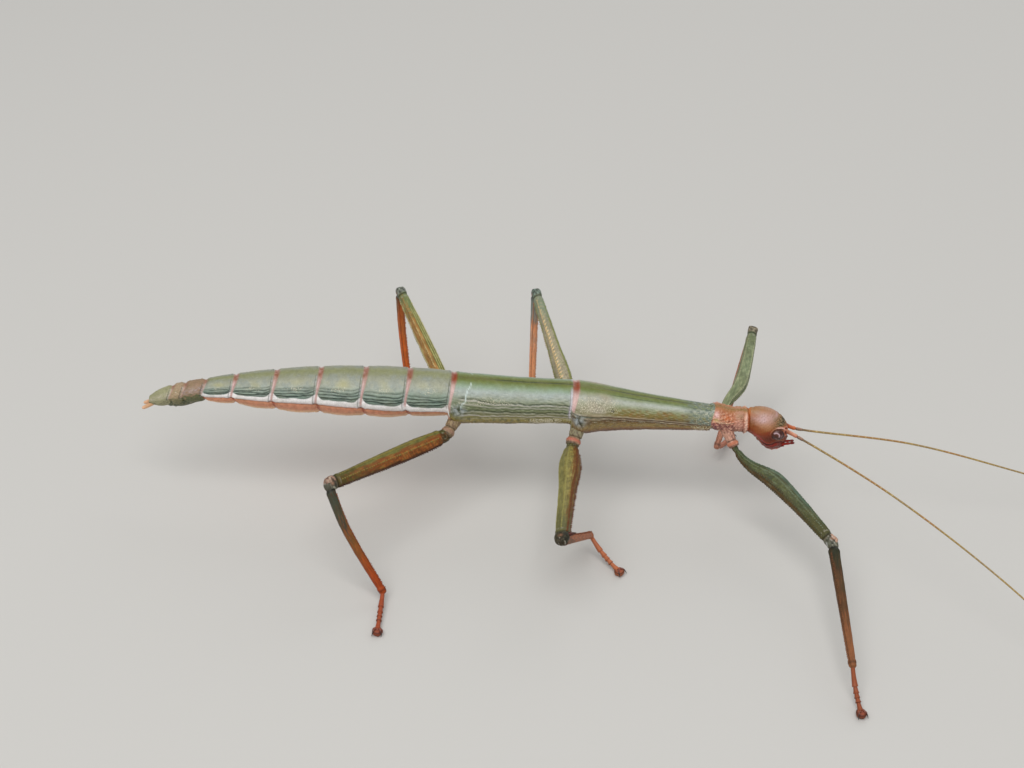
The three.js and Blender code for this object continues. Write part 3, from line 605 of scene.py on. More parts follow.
def trunk_pigment(at, on):
    """Colours of the trunk from the belly up to the back, length by length, then its bands and spots."""
    x, up, above, share = at.x, at.up, at.above, at.share
    meta, meso, collar, abdomen = at.meta, at.meso, at.collar, at.abdomen
    cloud, fine, finest, grain = at.cloud, at.fine, at.finest, at.grain
    spot = spots(x, up)
    shift = up + 1.5 * (fine + cloud * step(85, 70, up)) * (1 - 0.6 * (meta + meso))
    plates, metathorax, mesothorax, prothorax = (
        linear(np.moveaxis(along(bands, shift), 0, -1))
        for bands in (ABDOMEN_BANDS, METATHORAX_BANDS, MESOTHORAX_BANDS, COLLAR_BANDS))
    patchy = fine + 0.5 * cloud
    warm = meso * plateau(x, 29, 45, 3.5) * plateau(up, 10, 40, 8)
    rear = meso * plateau(x, 20.4, 28.5, 2.0) * plateau(up, 22, 70, 9)
    seams = 0.85 * np.maximum(on.seam, 0.8 * on.second_seam)
    knotted = paint((63, 66, 66), (20, 24, 20, step(0.2, 1.0, fine + 0.4 * finest)))
    grained = (meta + meso) * (0.3 + 0.7 * step(-14, 4, up)) * step(62, 40, up) * 0.3
    corner = hump(at.offset, -0.1, 0.4) * hump(above, -8.5, 3.5) * abdomen * step(5.4, 5.2, at.ring)
    tail = abdomen * step(5.6, 5.9, at.ring)
    eighth, tenth = tail * step(6.5, 6.4, at.ring), tail * step(7.5, 7.6, at.ring)
    ninth = tail - eighth - tenth
    wrinkle = at.wrinkle + 0.6 * at.fine_wrinkle
    plum = collar * step(12, -4, up) * step(54.4, 52.8, x)
    return paint(
        plates,
        (68, 66, 46, abdomen * hump(up, 50, 14) * hump(share, 0.5, 0.25) * (0.20 + 0.25 * cloud)),
        (54, 57, 54, abdomen * step(0.2, 1.4, -cloud - 0.6 * fine) * step(84, 70, up) * 0.5),
        (66, 72, 66, on.furrow_ridge * 0.5),
        (6, 16, 12, on.furrow),
        # painted shadow along the upper edge of the raised stripe
        (16, 22, 20, on.stripe_shadow_line * 0.8),
        (metathorax, meta),
        (mesothorax, meso),
        (78, 75, 72, on.fold_ridge * 0.8),
        (12, 19, 9, on.fold * 0.92),
        (34, 33, 19, on.pleura * step(0.1, 1.2, patchy) * 0.75),
        (64, 62, 40, on.pleura * step(0.5, 1.2, finest) * 0.5),
        (52, 39, 14, warm * (0.45 + 0.25 * fine + 0.25 * cloud)),
        (65, 61, 53, rear * (0.7 + 0.25 * cloud)),
        (40, 46, 42, meso * step(41.5, 46, x) * step(-8, 5, up) * (0.65 + 0.3 * fine)),
        (66, 67, 60, meso * step(43, 46, x) * step(0, 12, up) * step(0.6, 1.2, finest) * 0.6),
        (38, 27, 14, on.under * step(0.1, 1.2, patchy) * 0.45),
        (62, 50, 36, on.under * step(0.5, 1.3, finest) * step(-30, -12, up) * 0.55),
        (74, 68, 58, on.seam_ridge * 0.7 * step(47, 42, x)),
        (33, 15, 13, seams * step(23, 29, x)),
        (22, 30, 27, seams * step(29, 23, x)),
        (10, 19, 11, (on.midline + 0.8 * on.upper_line) * 0.85),
        (knotted, on.knot * 0.85),
        # streaks of the grain that runs along the thorax, and a dark scar on the mesothorax
        (25, 30, 16, grained * step(0.3, 1.5, grain)),
        (78, 78, 68, grained * step(0.5, 1.6, -grain)),
        (5, 5, 5, spot(28.6, 0.28, 30, 3.2) * 1.5),
        # belly and stripe
        (84, 56, 43, on.belly),
        (68, 40, 29, on.belly * step(-0.2, 1.2, fine + 0.4 * finest) * 0.4),
        (95, 78, 60, on.belly * hump(up, -41, 9) * 0.9),
        (62, 26, 14, on.belly * step(0.12, 0.03, share) * 0.85),
        (95, 93, 92, on.stripe),
        (80, 68, 67, on.stripe * hump(above, -7, 2.5) * 0.6),
        (24, 11, 9, corner * 0.85),
        # the last three rings
        (60, 48, 38, eighth),
        (68, 58, 58, eighth * hump(up, 35, 16) * (0.6 + 0.3 * fine)),
        (36, 38, 24, eighth * step(16, 0, up + 7 * fine)),
        (68, 58, 46, ninth),
        (40, 42, 26, ninth * step(12, -6, up + 6 * fine) * 0.8),
        (63, 62, 47, tenth),
        (76, 73, 64, tenth * hump(up, 30, 22) * (0.6 + 0.3 * fine)),
        (44, 42, 26, tail * step(0.4, 1.5, finest + 0.4 * fine) * 0.6),
        # joints
        (75, 59, 56, on.membrane * 0.95),
        # painted highlight down the middle of each joint's membrane
        (86, 74, 73, on.membrane * hump(at.offset, -0.1, 0.14) * step(80, 45, up) * 0.8),
        (88, 74, 72, on.membrane * step(-6, -4, at.joint) * hump(up, 45, 24) * 0.7),
        (56, 36, 24, on.membrane * step(58, 82, up) * (0.55 + 0.2 * fine)),
        (54, 21, 3, on.spot),
        (88, 86, 90, on.joint_edge * (0.4 + 0.45 * at.thorax)),
        (24, 26, 22, on.joint_line * 0.7),
        (86, 92, 90, on.suture * 0.9),
        # collar
        (prothorax, collar),
        (80, 42, 20, collar * spot(51.9, 0.95, 33, 14) * (0.8 + 0.4 * fine)),
        # painted highlight: a pale lilac reflection on the swelling at the collar's rear
        (90, 74, 72, collar * spot(49.6, 0.6, 42, 17)),
        (88, 72, 62, collar * step(0.5, 1.7, wrinkle) * step(75, 50, up) * 0.6),
        (50, 25, 22, collar * step(0.6, 1.9, -wrinkle) * step(75, 50, up) * 0.55),
        (48, 25, 27, plum * step(-0.4, 0.6, -wrinkle) * 0.85),
        (80, 70, 44, collar * spot(49.6, 0.6, 20, 8) * 0.8),
        (88, 74, 62, collar * hump(up, 12, 3.0) * plateau(x, 49.5, 53, 0.8) * 0.8),
        (78, 58, 50, collar * plateau(x, 53.5, 55.2, 0.3) * step(88, 70, up) * 0.55),
        (56, 46, 28, collar * plateau(x, 53.6, 55.3, 0.3) * hump(up, 52, 14) * 0.45),
        (94, 76, 68, collar * hump(x, 55.72, 0.26) * step(84, 50, up) * 0.95),
        (60, 34, 25, collar * hump(x, 55.15, 0.13) * step(80, 55, up) * 0.6),
        (66, 27, 8, step(56.0, 56.12, x)),
    )


def trunk_skin():
    """The whole trunk from tail to neck: y = -(half width + relief) cos(angle) and
    z = axis + rise + (half height + relief) sin(angle) at every station and angle."""
    x, angle = trunk_grid()
    at = trunk_zones(x, angle)
    on = trunk_marks(at)
    relief = trunk_relief(at, on)
    half_width, half_height, rise = along(TRUNK_SECTIONS, x)
    y = -(half_width + relief) * np.cos(angle)
    z = axis_height(x) + rise + (half_height + relief) * np.sin(angle)
    up = at.up
    plain = (1 - on.membrane) * (1 - on.stripe)
    flecks = plain * (
        at.abdomen * hump(at.share, 0.5, 0.3) * (hump(up, 38, 15) * 0.6 + hump(up, 80, 9) * 0.35)
        + at.meso * plateau(x, 21.4, 30.5, 1.2) * plateau(up, 22, 62, 7) * 0.62
        + at.meta * (hump(x, 4, 6) * hump(up, 34, 11) * 0.55 + hump(up, 24, 7) * 0.3)
        + on.pleura * (0.35 + 0.55 * plateau(x, 12, 18.5, 1)) + on.under * 0.3 + at.collar * 0.2
        + at.meso * step(43, 46, x) * 0.45
    )
    pits = plain * (
        (on.pleura + on.under) * 0.35 + at.abdomen * step(5.6, 5.9, at.ring) * step(25, 0, up) * 0.6
        + at.meso * hump(x, 36, 7) * hump(up, 22, 12) * 0.3
    )
    skin = shells(np.stack([x, y, z], -1), trunk_pigment(at, on), TRUNK_GIRTH, flecks, pits)
    solids = [*(f"abdomen_{number}" for number in range(2, 11)), "metathorax", "mesothorax", "prothorax"]
    piece("trunk_skin", TRUNK_CUTICLE, "trunk", solids, skin)


# ---------------------------------------------------------------- head

HEAD_WIDTH, HEAD_GIRTH = 5.3, 16.0
HEAD_CENTRE = (60.4, 0, 17.6)
HEAD_OUTLINE = [
    [56.0, 0, 17.6], [55.85, 0, 19.8], [56.3, 0, 22.1], [59.0, 0, 22.6], [61.9, 0, 21.6], [64.1, 0, 19.3],
    [64.7, 0, 17.0], [64.6, 0, 14.8], [63.8, 0, 12.9], [61.9, 0, 12.1], [59.8, 0, 13.5], [57.8, 0, 15.9],
]
HEAD_TAPER = [[55.8, 0.8], [57.5, 0.94], [60.3, 1.0], [63.0, 0.84], [65.2, 0.6]]
HEAD_NARROWING = [[12, 0.72], [15, 0.9], [18, 1.0], [23, 1.0]]
JAW_LINE = [[56, 18.2], [58.6, 16.6], [60.3, 14.9], [61.6, 15.1], [62.6, 15.5], [63.9, 15.0], [64.9, 14.9]]
EYE_CENTRE = (62.4, 2.2, 17.65)
EYE_SIZE = (2.8, 1.7, 2.4)
EYE_TILT = math.radians(20)
SOCKET_RADIUS = 0.62
FEELER_BASE = (63.85, 1.05, 17.9)
FEELER_LENGTH, FEELER_SIDES = 80, 16
# The way of the first joint (forward, out, up), the turn outwards and the drops a third and two thirds
# along and at the tip.
FEELER_COURSE = {
    "right": ((2.4, 0.6, -0.96), 44.6, (1.4, 5.8, 14.0)),
    "left": ((2.4, 0.2, -1.2), -4.3, (2.6, 8.5, 14.6)),
}


def eye_axes(x, z):
    """Places over the eye's middle along its long axis, which sinks towards the front, and across it, each
    with 1 on the eye's rim: (dx cos t - dz sin t) and (dx sin t + dz cos t) over the half sizes."""
    dx, dz = x - EYE_CENTRE[0], z - EYE_CENTRE[2]
    c, s = math.cos(EYE_TILT), math.sin(EYE_TILT)
    return (dx * c - dz * s) / (EYE_SIZE[0] / 2), (dx * s + dz * c) / (EYE_SIZE[2] / 2)


def head_places(rings):
    """Distances that the head's marks and folds are made from, in millimetres: how far round the eye and
    the feeler's socket each point lies, with 1 on their rims, and its height over the line of the jaw."""
    x, y, z = np.moveaxis(rings, -1, 0)
    eye = np.hypot(*eye_axes(x, z)) + 3 * step(1.0, 0.4, np.abs(y))
    from_base = np.stack([x, np.abs(y), z], -1) - FEELER_BASE
    socket = np.linalg.norm(from_base, axis=-1) / SOCKET_RADIUS
    return x, y, z, eye, socket, z - along(JAW_LINE, x)[0]


def head_relief(rings):
    """Folds of the head: a seat that rises to the eyeball's own height with a rim, a raised socket for the
    feeler, the groove of the jaw, the swollen mandible, the grooves that part brow, face and upper lip, the
    lip's notch, a seam over the crown, a rolled hind rim and a wrinkled brow between eye and feelers."""
    x, y, z, eye, socket, jaw = head_places(rings)
    spot = spots(x, z)
    face = step(63.3, 64.2, x)
    middle = step(1.4, 0.8, np.abs(y))
    wrinkle = ripple(x + 5 * np.sign(y), z, 0.8, 61)
    pebble = ripple(x + 5 * np.sign(y), z, 0.45, 65, waves=14)
    brow = spot(62.6, 1.1, 20.0, 0.9)
    lack = np.clip(EYE_CENTRE[1] - 0.05 - np.abs(y), 0, 1)
    lip = hump(z, 15.5, 0.4) * 0.1 - 0.14 * hump(z, 16.2, 0.16) - 0.16 * hump(z, 14.6, 0.15)
    rough = 0.01 + 0.04 * step(0.4, -0.6, jaw) + 0.04 * face * step(1.2, 2.0, socket) * step(19.5, 18, z)
    return (
        0.62 * lack * step(1.32, 1.0, eye) - 0.05 * hump(eye, 1.38, 0.1)
        + (0.04 + 0.06 * step(61.6, 63.0, x)) * hump(eye, 1.13, 0.11)
        + 0.16 * hump(socket, 1.2, 0.3) - 0.15 * step(0.8, 0.5, socket)
        - 0.16 * hump(jaw, 0, 0.2) * step(59.3, 60.3, x) + 0.1 * hump(jaw, 0.5, 0.35) * step(59, 61, x)
        + 0.2 * hump(x, 62.2, 1.3) * hump(jaw, -1.1, 0.6)
        - 0.14 * hump(x, 63.5 - 0.3 * jaw, 0.14) * step(0.2, -0.3, jaw)
        + face * (lip * middle - 0.3 * hump(y, 0, 0.22) * step(13.9, 13.1, z))
        - 0.05 * hump(y, 0, 0.12) * step(20.5, 21.2, z)
        - 0.07 * hump(z - 0.35 * (x - 61.0), 20.3, 0.16) * step(60.6, 61.4, x) * step(63.6, 62.8, x)
        + 0.1 * (hump(x, 56.6, 0.3) - hump(x, 57.2, 0.25)) * step(16.5, 18, z)
        + 0.12 * spot(59.6, 1.8, 18.6, 2.0) + 0.06 * pebble * brow
        + wrinkle * rough
    )


def head_pigment(rings):
    """Tan above and behind with a painted lilac sheen on the temple, a painted reflection of the sky, rust to
    dark red down the cheek, a maroon jaw between pink lines, and grey-green grains between eye, crown and
    feelers, with a pale eye rim."""
    x, y, z, eye, socket, jaw = head_places(rings)
    spot = spots(x, z)
    cloud = ripple(x + 9 * np.sign(y), z, 1.6, 62)
    fine = ripple(x + 9 * np.sign(y), z, 0.5, 63)
    grain = ripple(x + 9 * np.sign(y), z, 0.38, 66, waves=16)
    brow = np.clip(spot(63.0, 1.25, 20.0, 1.0) * 1.3, 0, 1)
    colour = paint(
        (66, 43, 25),
        (60, 43, 22, step(21.3, 22.4, z + 0.2 * cloud) * 0.9),
        (50, 42, 20, spot(61.6, 0.9, 21.0, 0.45) * 0.7),
        # painted reflection: the pale lilac sheen of the sky on the temple
        (88, 76, 80, spot(59.3, 2.4, 21.1, 1.15) * (0.75 + 0.08 * cloud)),
        (80, 60, 46, spot(59.6, 1.5, 19.7, 0.8) * 0.4),
        (57, 22, 8, step(19.9, 17.6, z + 0.3 * cloud) * 0.95),
        (36, 11, 4, spot(60.9, 1.6, 16.5, 1.1) * 0.85),
        (62, 30, 16, spot(58.0, 0.9, 18.0, 1.2) * 0.5),
        (48, 30, 15, step(0.5, 1.5, fine + 0.5 * cloud) * 0.3),
        (46, 40, 26, brow * (0.75 + 0.2 * fine)),
        (20, 22, 15, brow * step(0.1, 0.9, grain) * 0.8),
        (74, 66, 56, brow * step(0.5, 1.3, -grain) * 0.8),
        (16, 16, 11, spot(63.45, 0.4, 20.0, 0.5) * 0.8),
        (78, 66, 70, spot(61.9, 0.35, 21.45, 0.3) * 0.6),
        (48, 30, 18, spot(62.9, 0.9, 15.9, 0.45) * 0.7),
        (45, 13, 7, step(0.15, -0.2, jaw) * step(58.9, 60.2, x)),
        (66, 26, 22, hump(jaw, -0.7, 0.3) * hump(x, 62.4, 1.3) * 0.5),
        (76, 22, 22, hump(jaw, 0.3, 0.25) * plateau(x, 57.6, 60.8, 0.7) * 0.9),
        (66, 12, 8, hump(jaw, -0.5, 0.16) * plateau(x, 60.0, 62.4, 0.5) * 0.8),
        (76, 46, 42, hump(jaw, 0.06, 0.13) * step(60.4, 61.4, x) * 0.7),
        (20, 5, 5, hump(jaw, -0.2, 0.13) * step(58.7, 59.5, x) * 0.8),
        (86, 50, 46, step(13.3, 12.7, z) * step(60.4, 61.4, x) * 0.8),
        (52, 26, 18, step(63.4, 64.3, x) * step(17.4, 16.6, z) * step(-0.2, 0.5, jaw)),
        (90, 72, 70, hump(eye, 1.15, 0.13) * step(62.2, 63.2, x + 0.5 * (z - 17.6))),
        (78, 58, 50, hump(eye, 1.18, 0.08) * step(17.6, 18.4, z) * 0.35),
        (30, 12, 8, hump(eye, 1.02, 0.08) * 0.85),
        (82, 52, 44, hump(socket, 1.25, 0.3) * 0.85),
        (40, 16, 12, step(0.9, 0.6, socket)),
        (84, 48, 24, hump(x, 56.4, 0.2) * step(18, 20, z) * 0.6),
        (62, 24, 6, step(56.2, 56.0, x)),
    )
    return colour * (1.0, 0.96, 0.84)


def head_ball(stations, sides):
    """The head as a ball: round its middle it has the side view's outline, and towards the cheeks the
    outline shrinks by (1 - s^2)^0.45, where s runs from -1 to 1 and y = s times the half width, which
    narrows forwards and downwards."""
    s = -np.cos(np.linspace(0.02, np.pi - 0.02, stations))[:, None]
    outline = smooth_curve(HEAD_OUTLINE, np.linspace(0, 1, sides, endpoint=False)[None], closed=True)
    rings = HEAD_CENTRE + (outline - HEAD_CENTRE) * ((1 - s * s) ** 0.45)[..., None]
    narrow = along(HEAD_TAPER, rings[..., 0])[0] * along(HEAD_NARROWING, rings[..., 2])[0]
    rings[..., 1] = s * narrow * HEAD_WIDTH / 2
    return rings


def head_skin():
    """The head's ball with its folds pushed out of it."""
    plain = head_ball(170, 210)
    rings = push_out(plain, head_relief(plain))
    flecks = 0.45 * hump(plain[..., 0], 63.0, 1.0) * hump(plain[..., 2], 20.0, 0.8)
    piece("head_skin", HEAD_CUTICLE, "head", ["head"], shells(rings, head_pigment(plain), HEAD_GIRTH, flecks))


def eye(name, side):
    """A bulging eye: an ellipsoid a little fuller than the one it stands for is deep, its long axis sunk
    towards the front, as centre + half size times (sin a sin b, cos a, sin a cos b), turned by the tilt. A
    painted highlight, a pale hooked reflection, lies on its upper half, and it darkens in rings towards
    its rim at the back and below."""
    a = np.linspace(0.03, np.pi - 0.03, 64)[:, None]
    b = np.linspace(0, 2 * np.pi, 84, endpoint=False)[None]
    ball = np.stack([np.sin(a) * np.sin(b), np.cos(a) + 0 * b, np.sin(a) * np.cos(b)], -1)
    half_size = np.array(EYE_SIZE) * (0.98, 1, 0.98) / 2
    c, s = math.cos(EYE_TILT), math.sin(EYE_TILT)
    rings = np.array(EYE_CENTRE) * (1, side, 1) + (ball * half_size) @ [[c, 0, -s], [0, 1, 0], [s, 0, c]]
    length, high = eye_axes(rings[..., 0], rings[..., 2])
    spot = spots(length, high)
    out = np.hypot(length, high)
    turn = np.degrees(np.arctan2(high - 0.1, length + 0.3))
    hooked_highlight = hump(np.hypot(length + 0.3, high - 0.1), 0.42, 0.09) * plateau(turn, -20, 175, 14)
    marble = ripple(length, high, 0.7, 71, waves=12)
    colour = paint(
        (27, 13, 9),
        (43, 25, 20, spot(-0.2, 0.45, 0.1, 0.4) * 0.8),
        (17, 10, 9, step(0.2, 1.2, marble) * step(-0.1, 0.4, length) * 0.8),
        (17, 10, 9, spot(-0.25, 0.2, -0.1, 0.18) * 0.7),
        (58, 46, 46, spot(-0.1, 0.2, -0.62, 0.1) * 0.8),
        # painted highlight: the pale hooked reflection on the eye's upper half
        (82, 70, 72, hooked_highlight * 0.95),
        (66, 52, 52, spot(0.45, 0.1, 0.25, 0.3) * 0.7),
        (36, 19, 13, hump(out, 0.97, 0.08) * step(0.2, -0.5, length) * 0.8),
        (14, 8, 7, hump(out, 0.88, 0.1) * step(0.0, -0.5, high) * 0.7),
    )
    piece(f"{name}_eye", EYE_GLOSS, "eye", [f"eye_{name}"], shells(rings, colour, girth=7.0))


def tube_along(centres, radii, sides, relief=0.0):
    """Rings square to a path: centre + radius (across cos a + upright sin a), where across is the path's
    direction crossed with up."""
    direction = unit(np.gradient(centres, axis=0))
    across = unit(np.cross(direction, UP))
    upright = np.cross(across, direction)
    angle = np.linspace(0, 2 * np.pi, sides, endpoint=False)
    radius = radii[:, None] + relief
    return (centres[:, None] + (radius * np.cos(angle))[..., None] * across[:, None]
            + (radius * np.sin(angle))[..., None] * upright[:, None])


def dome(shares, blunt=0.04):
    """Radius factor that closes both ends of a rod in a rounded tip: the root of 1 - d^2, where d is how
    deep into the last `blunt` share of the rod a point lies."""
    depth = np.clip(1 - np.minimum(shares, 1 - shares) / blunt, 0, 0.995)
    return np.sqrt(1 - depth * depth)


def feeler(name, side):
    """A feeler of some fifty joints: a long thick first joint that narrows to its neck, a shorter second,
    and a thread whose joints swell towards their far ends and thin out towards the tip."""
    first, turn, drops = FEELER_COURSE[name]
    heading = bearing(turn, 0, side)
    base = np.array(FEELER_BASE) * (1, side, 1)
    knots = [base, base + np.array(first) * (1, side, 1)]
    for number, drop in enumerate(drops):
        knots.append(base + heading * FEELER_LENGTH * (0.31 + 0.33 * number) + (1.5, 0, -drop))
    shares = np.concatenate([np.linspace(0, 0.06, 90, endpoint=False), np.linspace(0.06, 1, 560)])
    run = shares * FEELER_LENGTH
    within = np.mod(run / (1.5 - 0.3 * shares), 1)
    radii = np.max([
        (0.46 - 0.04 * run) * plateau(run, -0.4, 2.88, 0.16) + 0.04 * hump(run, 2.5, 0.3),
        (0.34 - 0.03 * (run - 3)) * plateau(run, 3.0, 4.2, 0.12),
        0.28 * hump(run, 2.95, 0.14) + 0.22 * hump(run, 4.3, 0.2),
        (0.225 - 0.09 * shares) * (1 + 0.12 * hump(within, 0.88, 0.12) - 0.1 * hump(within, 0.0, 0.06)),
    ], axis=0) * dome(shares, 0.004)
    around = np.linspace(0, 360, FEELER_SIDES, endpoint=False)
    run, within, around = np.broadcast_arrays(run[:, None], within[:, None], around)
    top, right = hump(around, 90, 55), side < 0
    patchy = ripple(run, 0 * run, 9.0, 74)
    colour = paint(
        (64, 53, 30),
        (58, 48, 34, step(-0.3, 0.9, patchy) * 0.6),
        (64, 42, 24, step(0.2, 1.0, -patchy) * 0.6),
        (80, 72, 52, hump(within, 0.9, 0.1) * 0.7),
        (38, 24, 14, hump(within, 0.02, 0.06) * 0.6),
        (40, 34, 27, step(7.5, 4.4, run) * 0.75),
        (46, 34, 27, step(4.3, 4.2, run)),
        # painted highlight along the top of the first two joints
        (74, 58, 50, top * step(4.3, 4.2, run) * 0.6),
        (*((76, 44, 33) if right else (78, 36, 12)), step(2.94, 2.88, run)),
        # painted highlight along the top of the first joint, stronger on the near feeler
        (90, 68, 58, top * step(2.9, 2.6, run) * (0.7 if right else 0.3)),
        # painted shade under the first joint
        (48, 18, 12, hump(around, 270, 60) * step(2.9, 2.7, run) * 0.7),
        (44, 14, 8, step(1.4, 0.4, run) * (0.5 if right else 0.9)),
        (36, 16, 10, (hump(run, 2.95, 0.08) + hump(run, 4.26, 0.08)) * 0.8),
    )
    rings = tube_along(even_curve(knots, shares), radii, FEELER_SIDES)
    skin = shells(rings, colour, girth=1.5, flecks=0.15)
    piece(f"{name}_feeler", FEELER_CUTICLE, "feeler", [f"feeler_{name}"], skin)


def jointed_rod(root, direction, length, radius, joints, bend, tint, tip):
    """A short jointed feeler: centre = root + direction times run + bend times share^2, and a radius that
    swells towards the far end of every joint. Returns its shell."""
    share = np.linspace(0, 1, 60)[:, None]
    centres = root + unit(direction) * length * share + np.array(bend) * share ** 2
    within = np.mod(share * joints, 1)
    radii = radius * (0.9 - 0.22 * share + 0.16 * np.sin(np.pi * within ** 1.4)) * dome(share, 0.12)
    colour = paint(tint, (*tip, step(0.2, 1.0, share) * 0.7), (18, 7, 5, hump(within, 0.0, 0.09) * 0.6))
    return shells(tube_along(centres, radii[:, 0], 20), colour, 2 * np.pi * radius)


def mouthparts():
    """Palps that stand for the solids at the mouth, and under them the shorter inner pair."""
    for name, side in SIDES:
        outer = jointed_rod((63.5, side * 0.5, 13.75), (1, side * 0.1, 0.28 if side < 0 else 0.04), 2.95,
                            0.29, 3, (0, 0, 0), (66, 17, 10), (30, 7, 4))
        inner = jointed_rod((63.0, side * 0.4, 13.15), (1, side * 0.25, 0.3), 1.4, 0.2, 3, (0, 0, 0.1),
                            (62, 22, 18), (34, 10, 9))
        piece(f"{name}_palp", MOUTH_CUTICLE, "mouthpart", [f"palp_{name}"], outer)
        piece(f"{name}_inner_palp", MOUTH_CUTICLE, "mouthpart", [], inner)


# ---------------------------------------------------------------- tail

SCOOP_REAR, SCOOP_FRONT, SCOOP_HALF_WIDTH, SCOOP_DEPTH = -62.0, -54.2, 1.9, 1.15


def egg_scoop():
    """The keeled plate under the tail: an oval in plan whose depth below the belly is 0.45 of the ring's
    half height plus the scoop's depth, both times sin of the angle."""
    angles = np.linspace(0, 2 * np.pi, 72, endpoint=False)
    share, angle = np.meshgrid(np.linspace(0.004, 0.996, 110), angles, indexing="ij")
    x = SCOOP_REAR + (SCOOP_FRONT - SCOOP_REAR) * share
    plan = np.sqrt(np.maximum(1 - (2 * share - 1) ** 2, 0.015))
    _, half_height, rise = along(TRUNK_SECTIONS, x)
    belly = axis_height(x) + rise - half_height * 0.55
    turn = np.degrees(angle)
    keel = 0.12 * hump(turn, 270, 9) * plan + 0.05 * ripple(x, 1.5 * angle, 1.0, 81)
    reach = np.where(turn > 180, half_height * 0.45 + (SCOOP_DEPTH - 0.12) * plan + keel, 0.3)
    rings = np.stack([x, -SCOOP_HALF_WIDTH * plan * np.cos(angle), belly + reach * np.sin(angle)], -1)
    colour = paint(
        (25, 28, 16),
        (42, 40, 26, step(0.2, 1.2, ripple(x, 1.6 * angle, 0.8, 82))),
        (60, 44, 34, step(0.16, 0.02, share) * 0.9),
        (14, 12, 8, hump(turn, 270, 8) * 0.7),
    )
    skin = shells(rings, colour, girth=10.0, flecks=0.35, pits=0.5)
    piece("egg_scoop", TRUNK_CUTICLE, "scoop", ["subgenital_plate"], skin)


def cerci():
    """The pair of short blunt feelers at the tail."""
    for name, side in SIDES:
        root = (-63.6, side * 0.45, axis_height(-63.9) - 5.55)
        rod = jointed_rod(root, (-1, side * 0.2, -0.55), 3.25, 0.44, 1, (0, -side * 0.12, 0.1), (80, 62, 46),
                          (95, 76, 62))
        piece(f"{name}_cercus", FEELER_CUTICLE, "cercus", [f"cercus_{name}"], rod)


# ---------------------------------------------------------------- legs

SOLE_HEIGHT = 0.8  # of the toe's joint, over the round pad
PAD_RADIUS = 1.1
CLAW_SPREAD, CLAW_REACH = 40, 1.45  # degrees to either side and millimetres forward
COXA_GRID, FEMUR_GRID, TIBIA_GRID = (70, 56), (170, 72), (150, 52)  # stations along and points round
TARSUS_STATIONS, TARSUS_SIDES = 170, 32
TARSUS_JOINTS = np.array([0.0, 0.44, 0.58, 0.69, 0.79, 1.02])
NO_BOW = [[0, 0], [1, 0]]
# Root of the coxa and hip as (x, out, z), radius of the coxa, lengths, sways of the middle line as [share,
# millimetres], sections as [share, half depth, half width], and the height of the femur's grains.
PAIRS = {
    "front": SimpleNamespace(
        coxa_root=(51.6, 1.2, 18.6), hip=(53.5, 3.9, 15.6), coxa=1.15, femur=29.6, tibia=27.7, tarsus=8.4,
        bow=[[0, 0], [0.1, -0.6], [0.2, -0.5], [0.38, 0.9], [0.7, 0.7], [1, 0]], tibia_bow=0,
        femur_sections=[[0, 0.62, 0.58], [0.1, 0.7, 0.64], [0.19, 1.0, 0.82], [0.3, 1.65, 1.2],
                        [0.4, 1.9, 1.35], [0.6, 1.6, 1.2], [0.92, 1.2, 1.0], [1, 1.3, 1.1]],
        tibia_sections=[[0, 1.05, 0.85], [0.08, 1.1, 0.85], [0.5, 0.95, 0.75], [1, 0.72, 0.65]],
        grain=0.07,
    ),
    "middle": SimpleNamespace(
        coxa_root=(22.6, 2.0, 19.6), hip=(20.9, 6.5, 16.6), coxa=1.5, femur=29.7, tibia=21.65, tarsus=9.0,
        bow=NO_BOW, tibia_bow=0,
        femur_sections=[[0, 1.1, 1.0], [0.08, 1.45, 1.2], [0.24, 2.2, 1.6], [0.5, 1.7, 1.2],
                        [0.9, 1.4, 0.95], [0.97, 1.5, 1.05], [1, 1.3, 0.9]],
        tibia_sections=[[0, 1.0, 0.8], [0.08, 1.0, 0.8], [0.5, 0.88, 0.75], [1, 0.75, 0.7]],
        grain=0.16,
    ),
    "hind": SimpleNamespace(
        coxa_root=(-1.9, 2.0, 20.4), hip=(-4.35, 6.4, 17.9), coxa=1.35, femur=28.8, tibia=23.2, tarsus=9.1,
        bow=NO_BOW, tibia_bow=0.9,
        femur_sections=[[0, 1.2, 0.9], [0.08, 1.6, 1.1], [0.3, 1.85, 1.25], [0.6, 1.65, 1.15],
                        [0.9, 1.35, 0.95], [0.97, 1.45, 1.05], [1, 1.3, 0.9]],
        tibia_sections=[[0, 0.95, 0.85], [0.08, 0.95, 0.85], [0.5, 0.85, 0.78], [1, 0.75, 0.7]],
        grain=0.16,
    ),
}
# Swing along the trunk of the hip, in millimetres; sweep of the femur from straight ahead towards the leg's
# own side and its lift above level, in degrees; sweep of the tibia; height of the ankle; sweep of the
# tarsus; and the turn of the femur's flat.
STANCES = {
    "front_right": (0, 52.5, -9, 88, 5.7, 79, 0),
    "front_left": (-1.4, 74, 6.6, -110, 3.7, 62, 0),
    "middle_right": (0, 94.3, 1.4, -69, 4.5, 47, 90),
    "middle_left": (0, 107, 18.8, -89, 4.9, 152, 0),
    "hind_right": (0, 139, 3.7, 43, 2.1, 92, 0),
    "hind_left": (0, 116, 18.4, -67, 4.5, 59, 0),
}
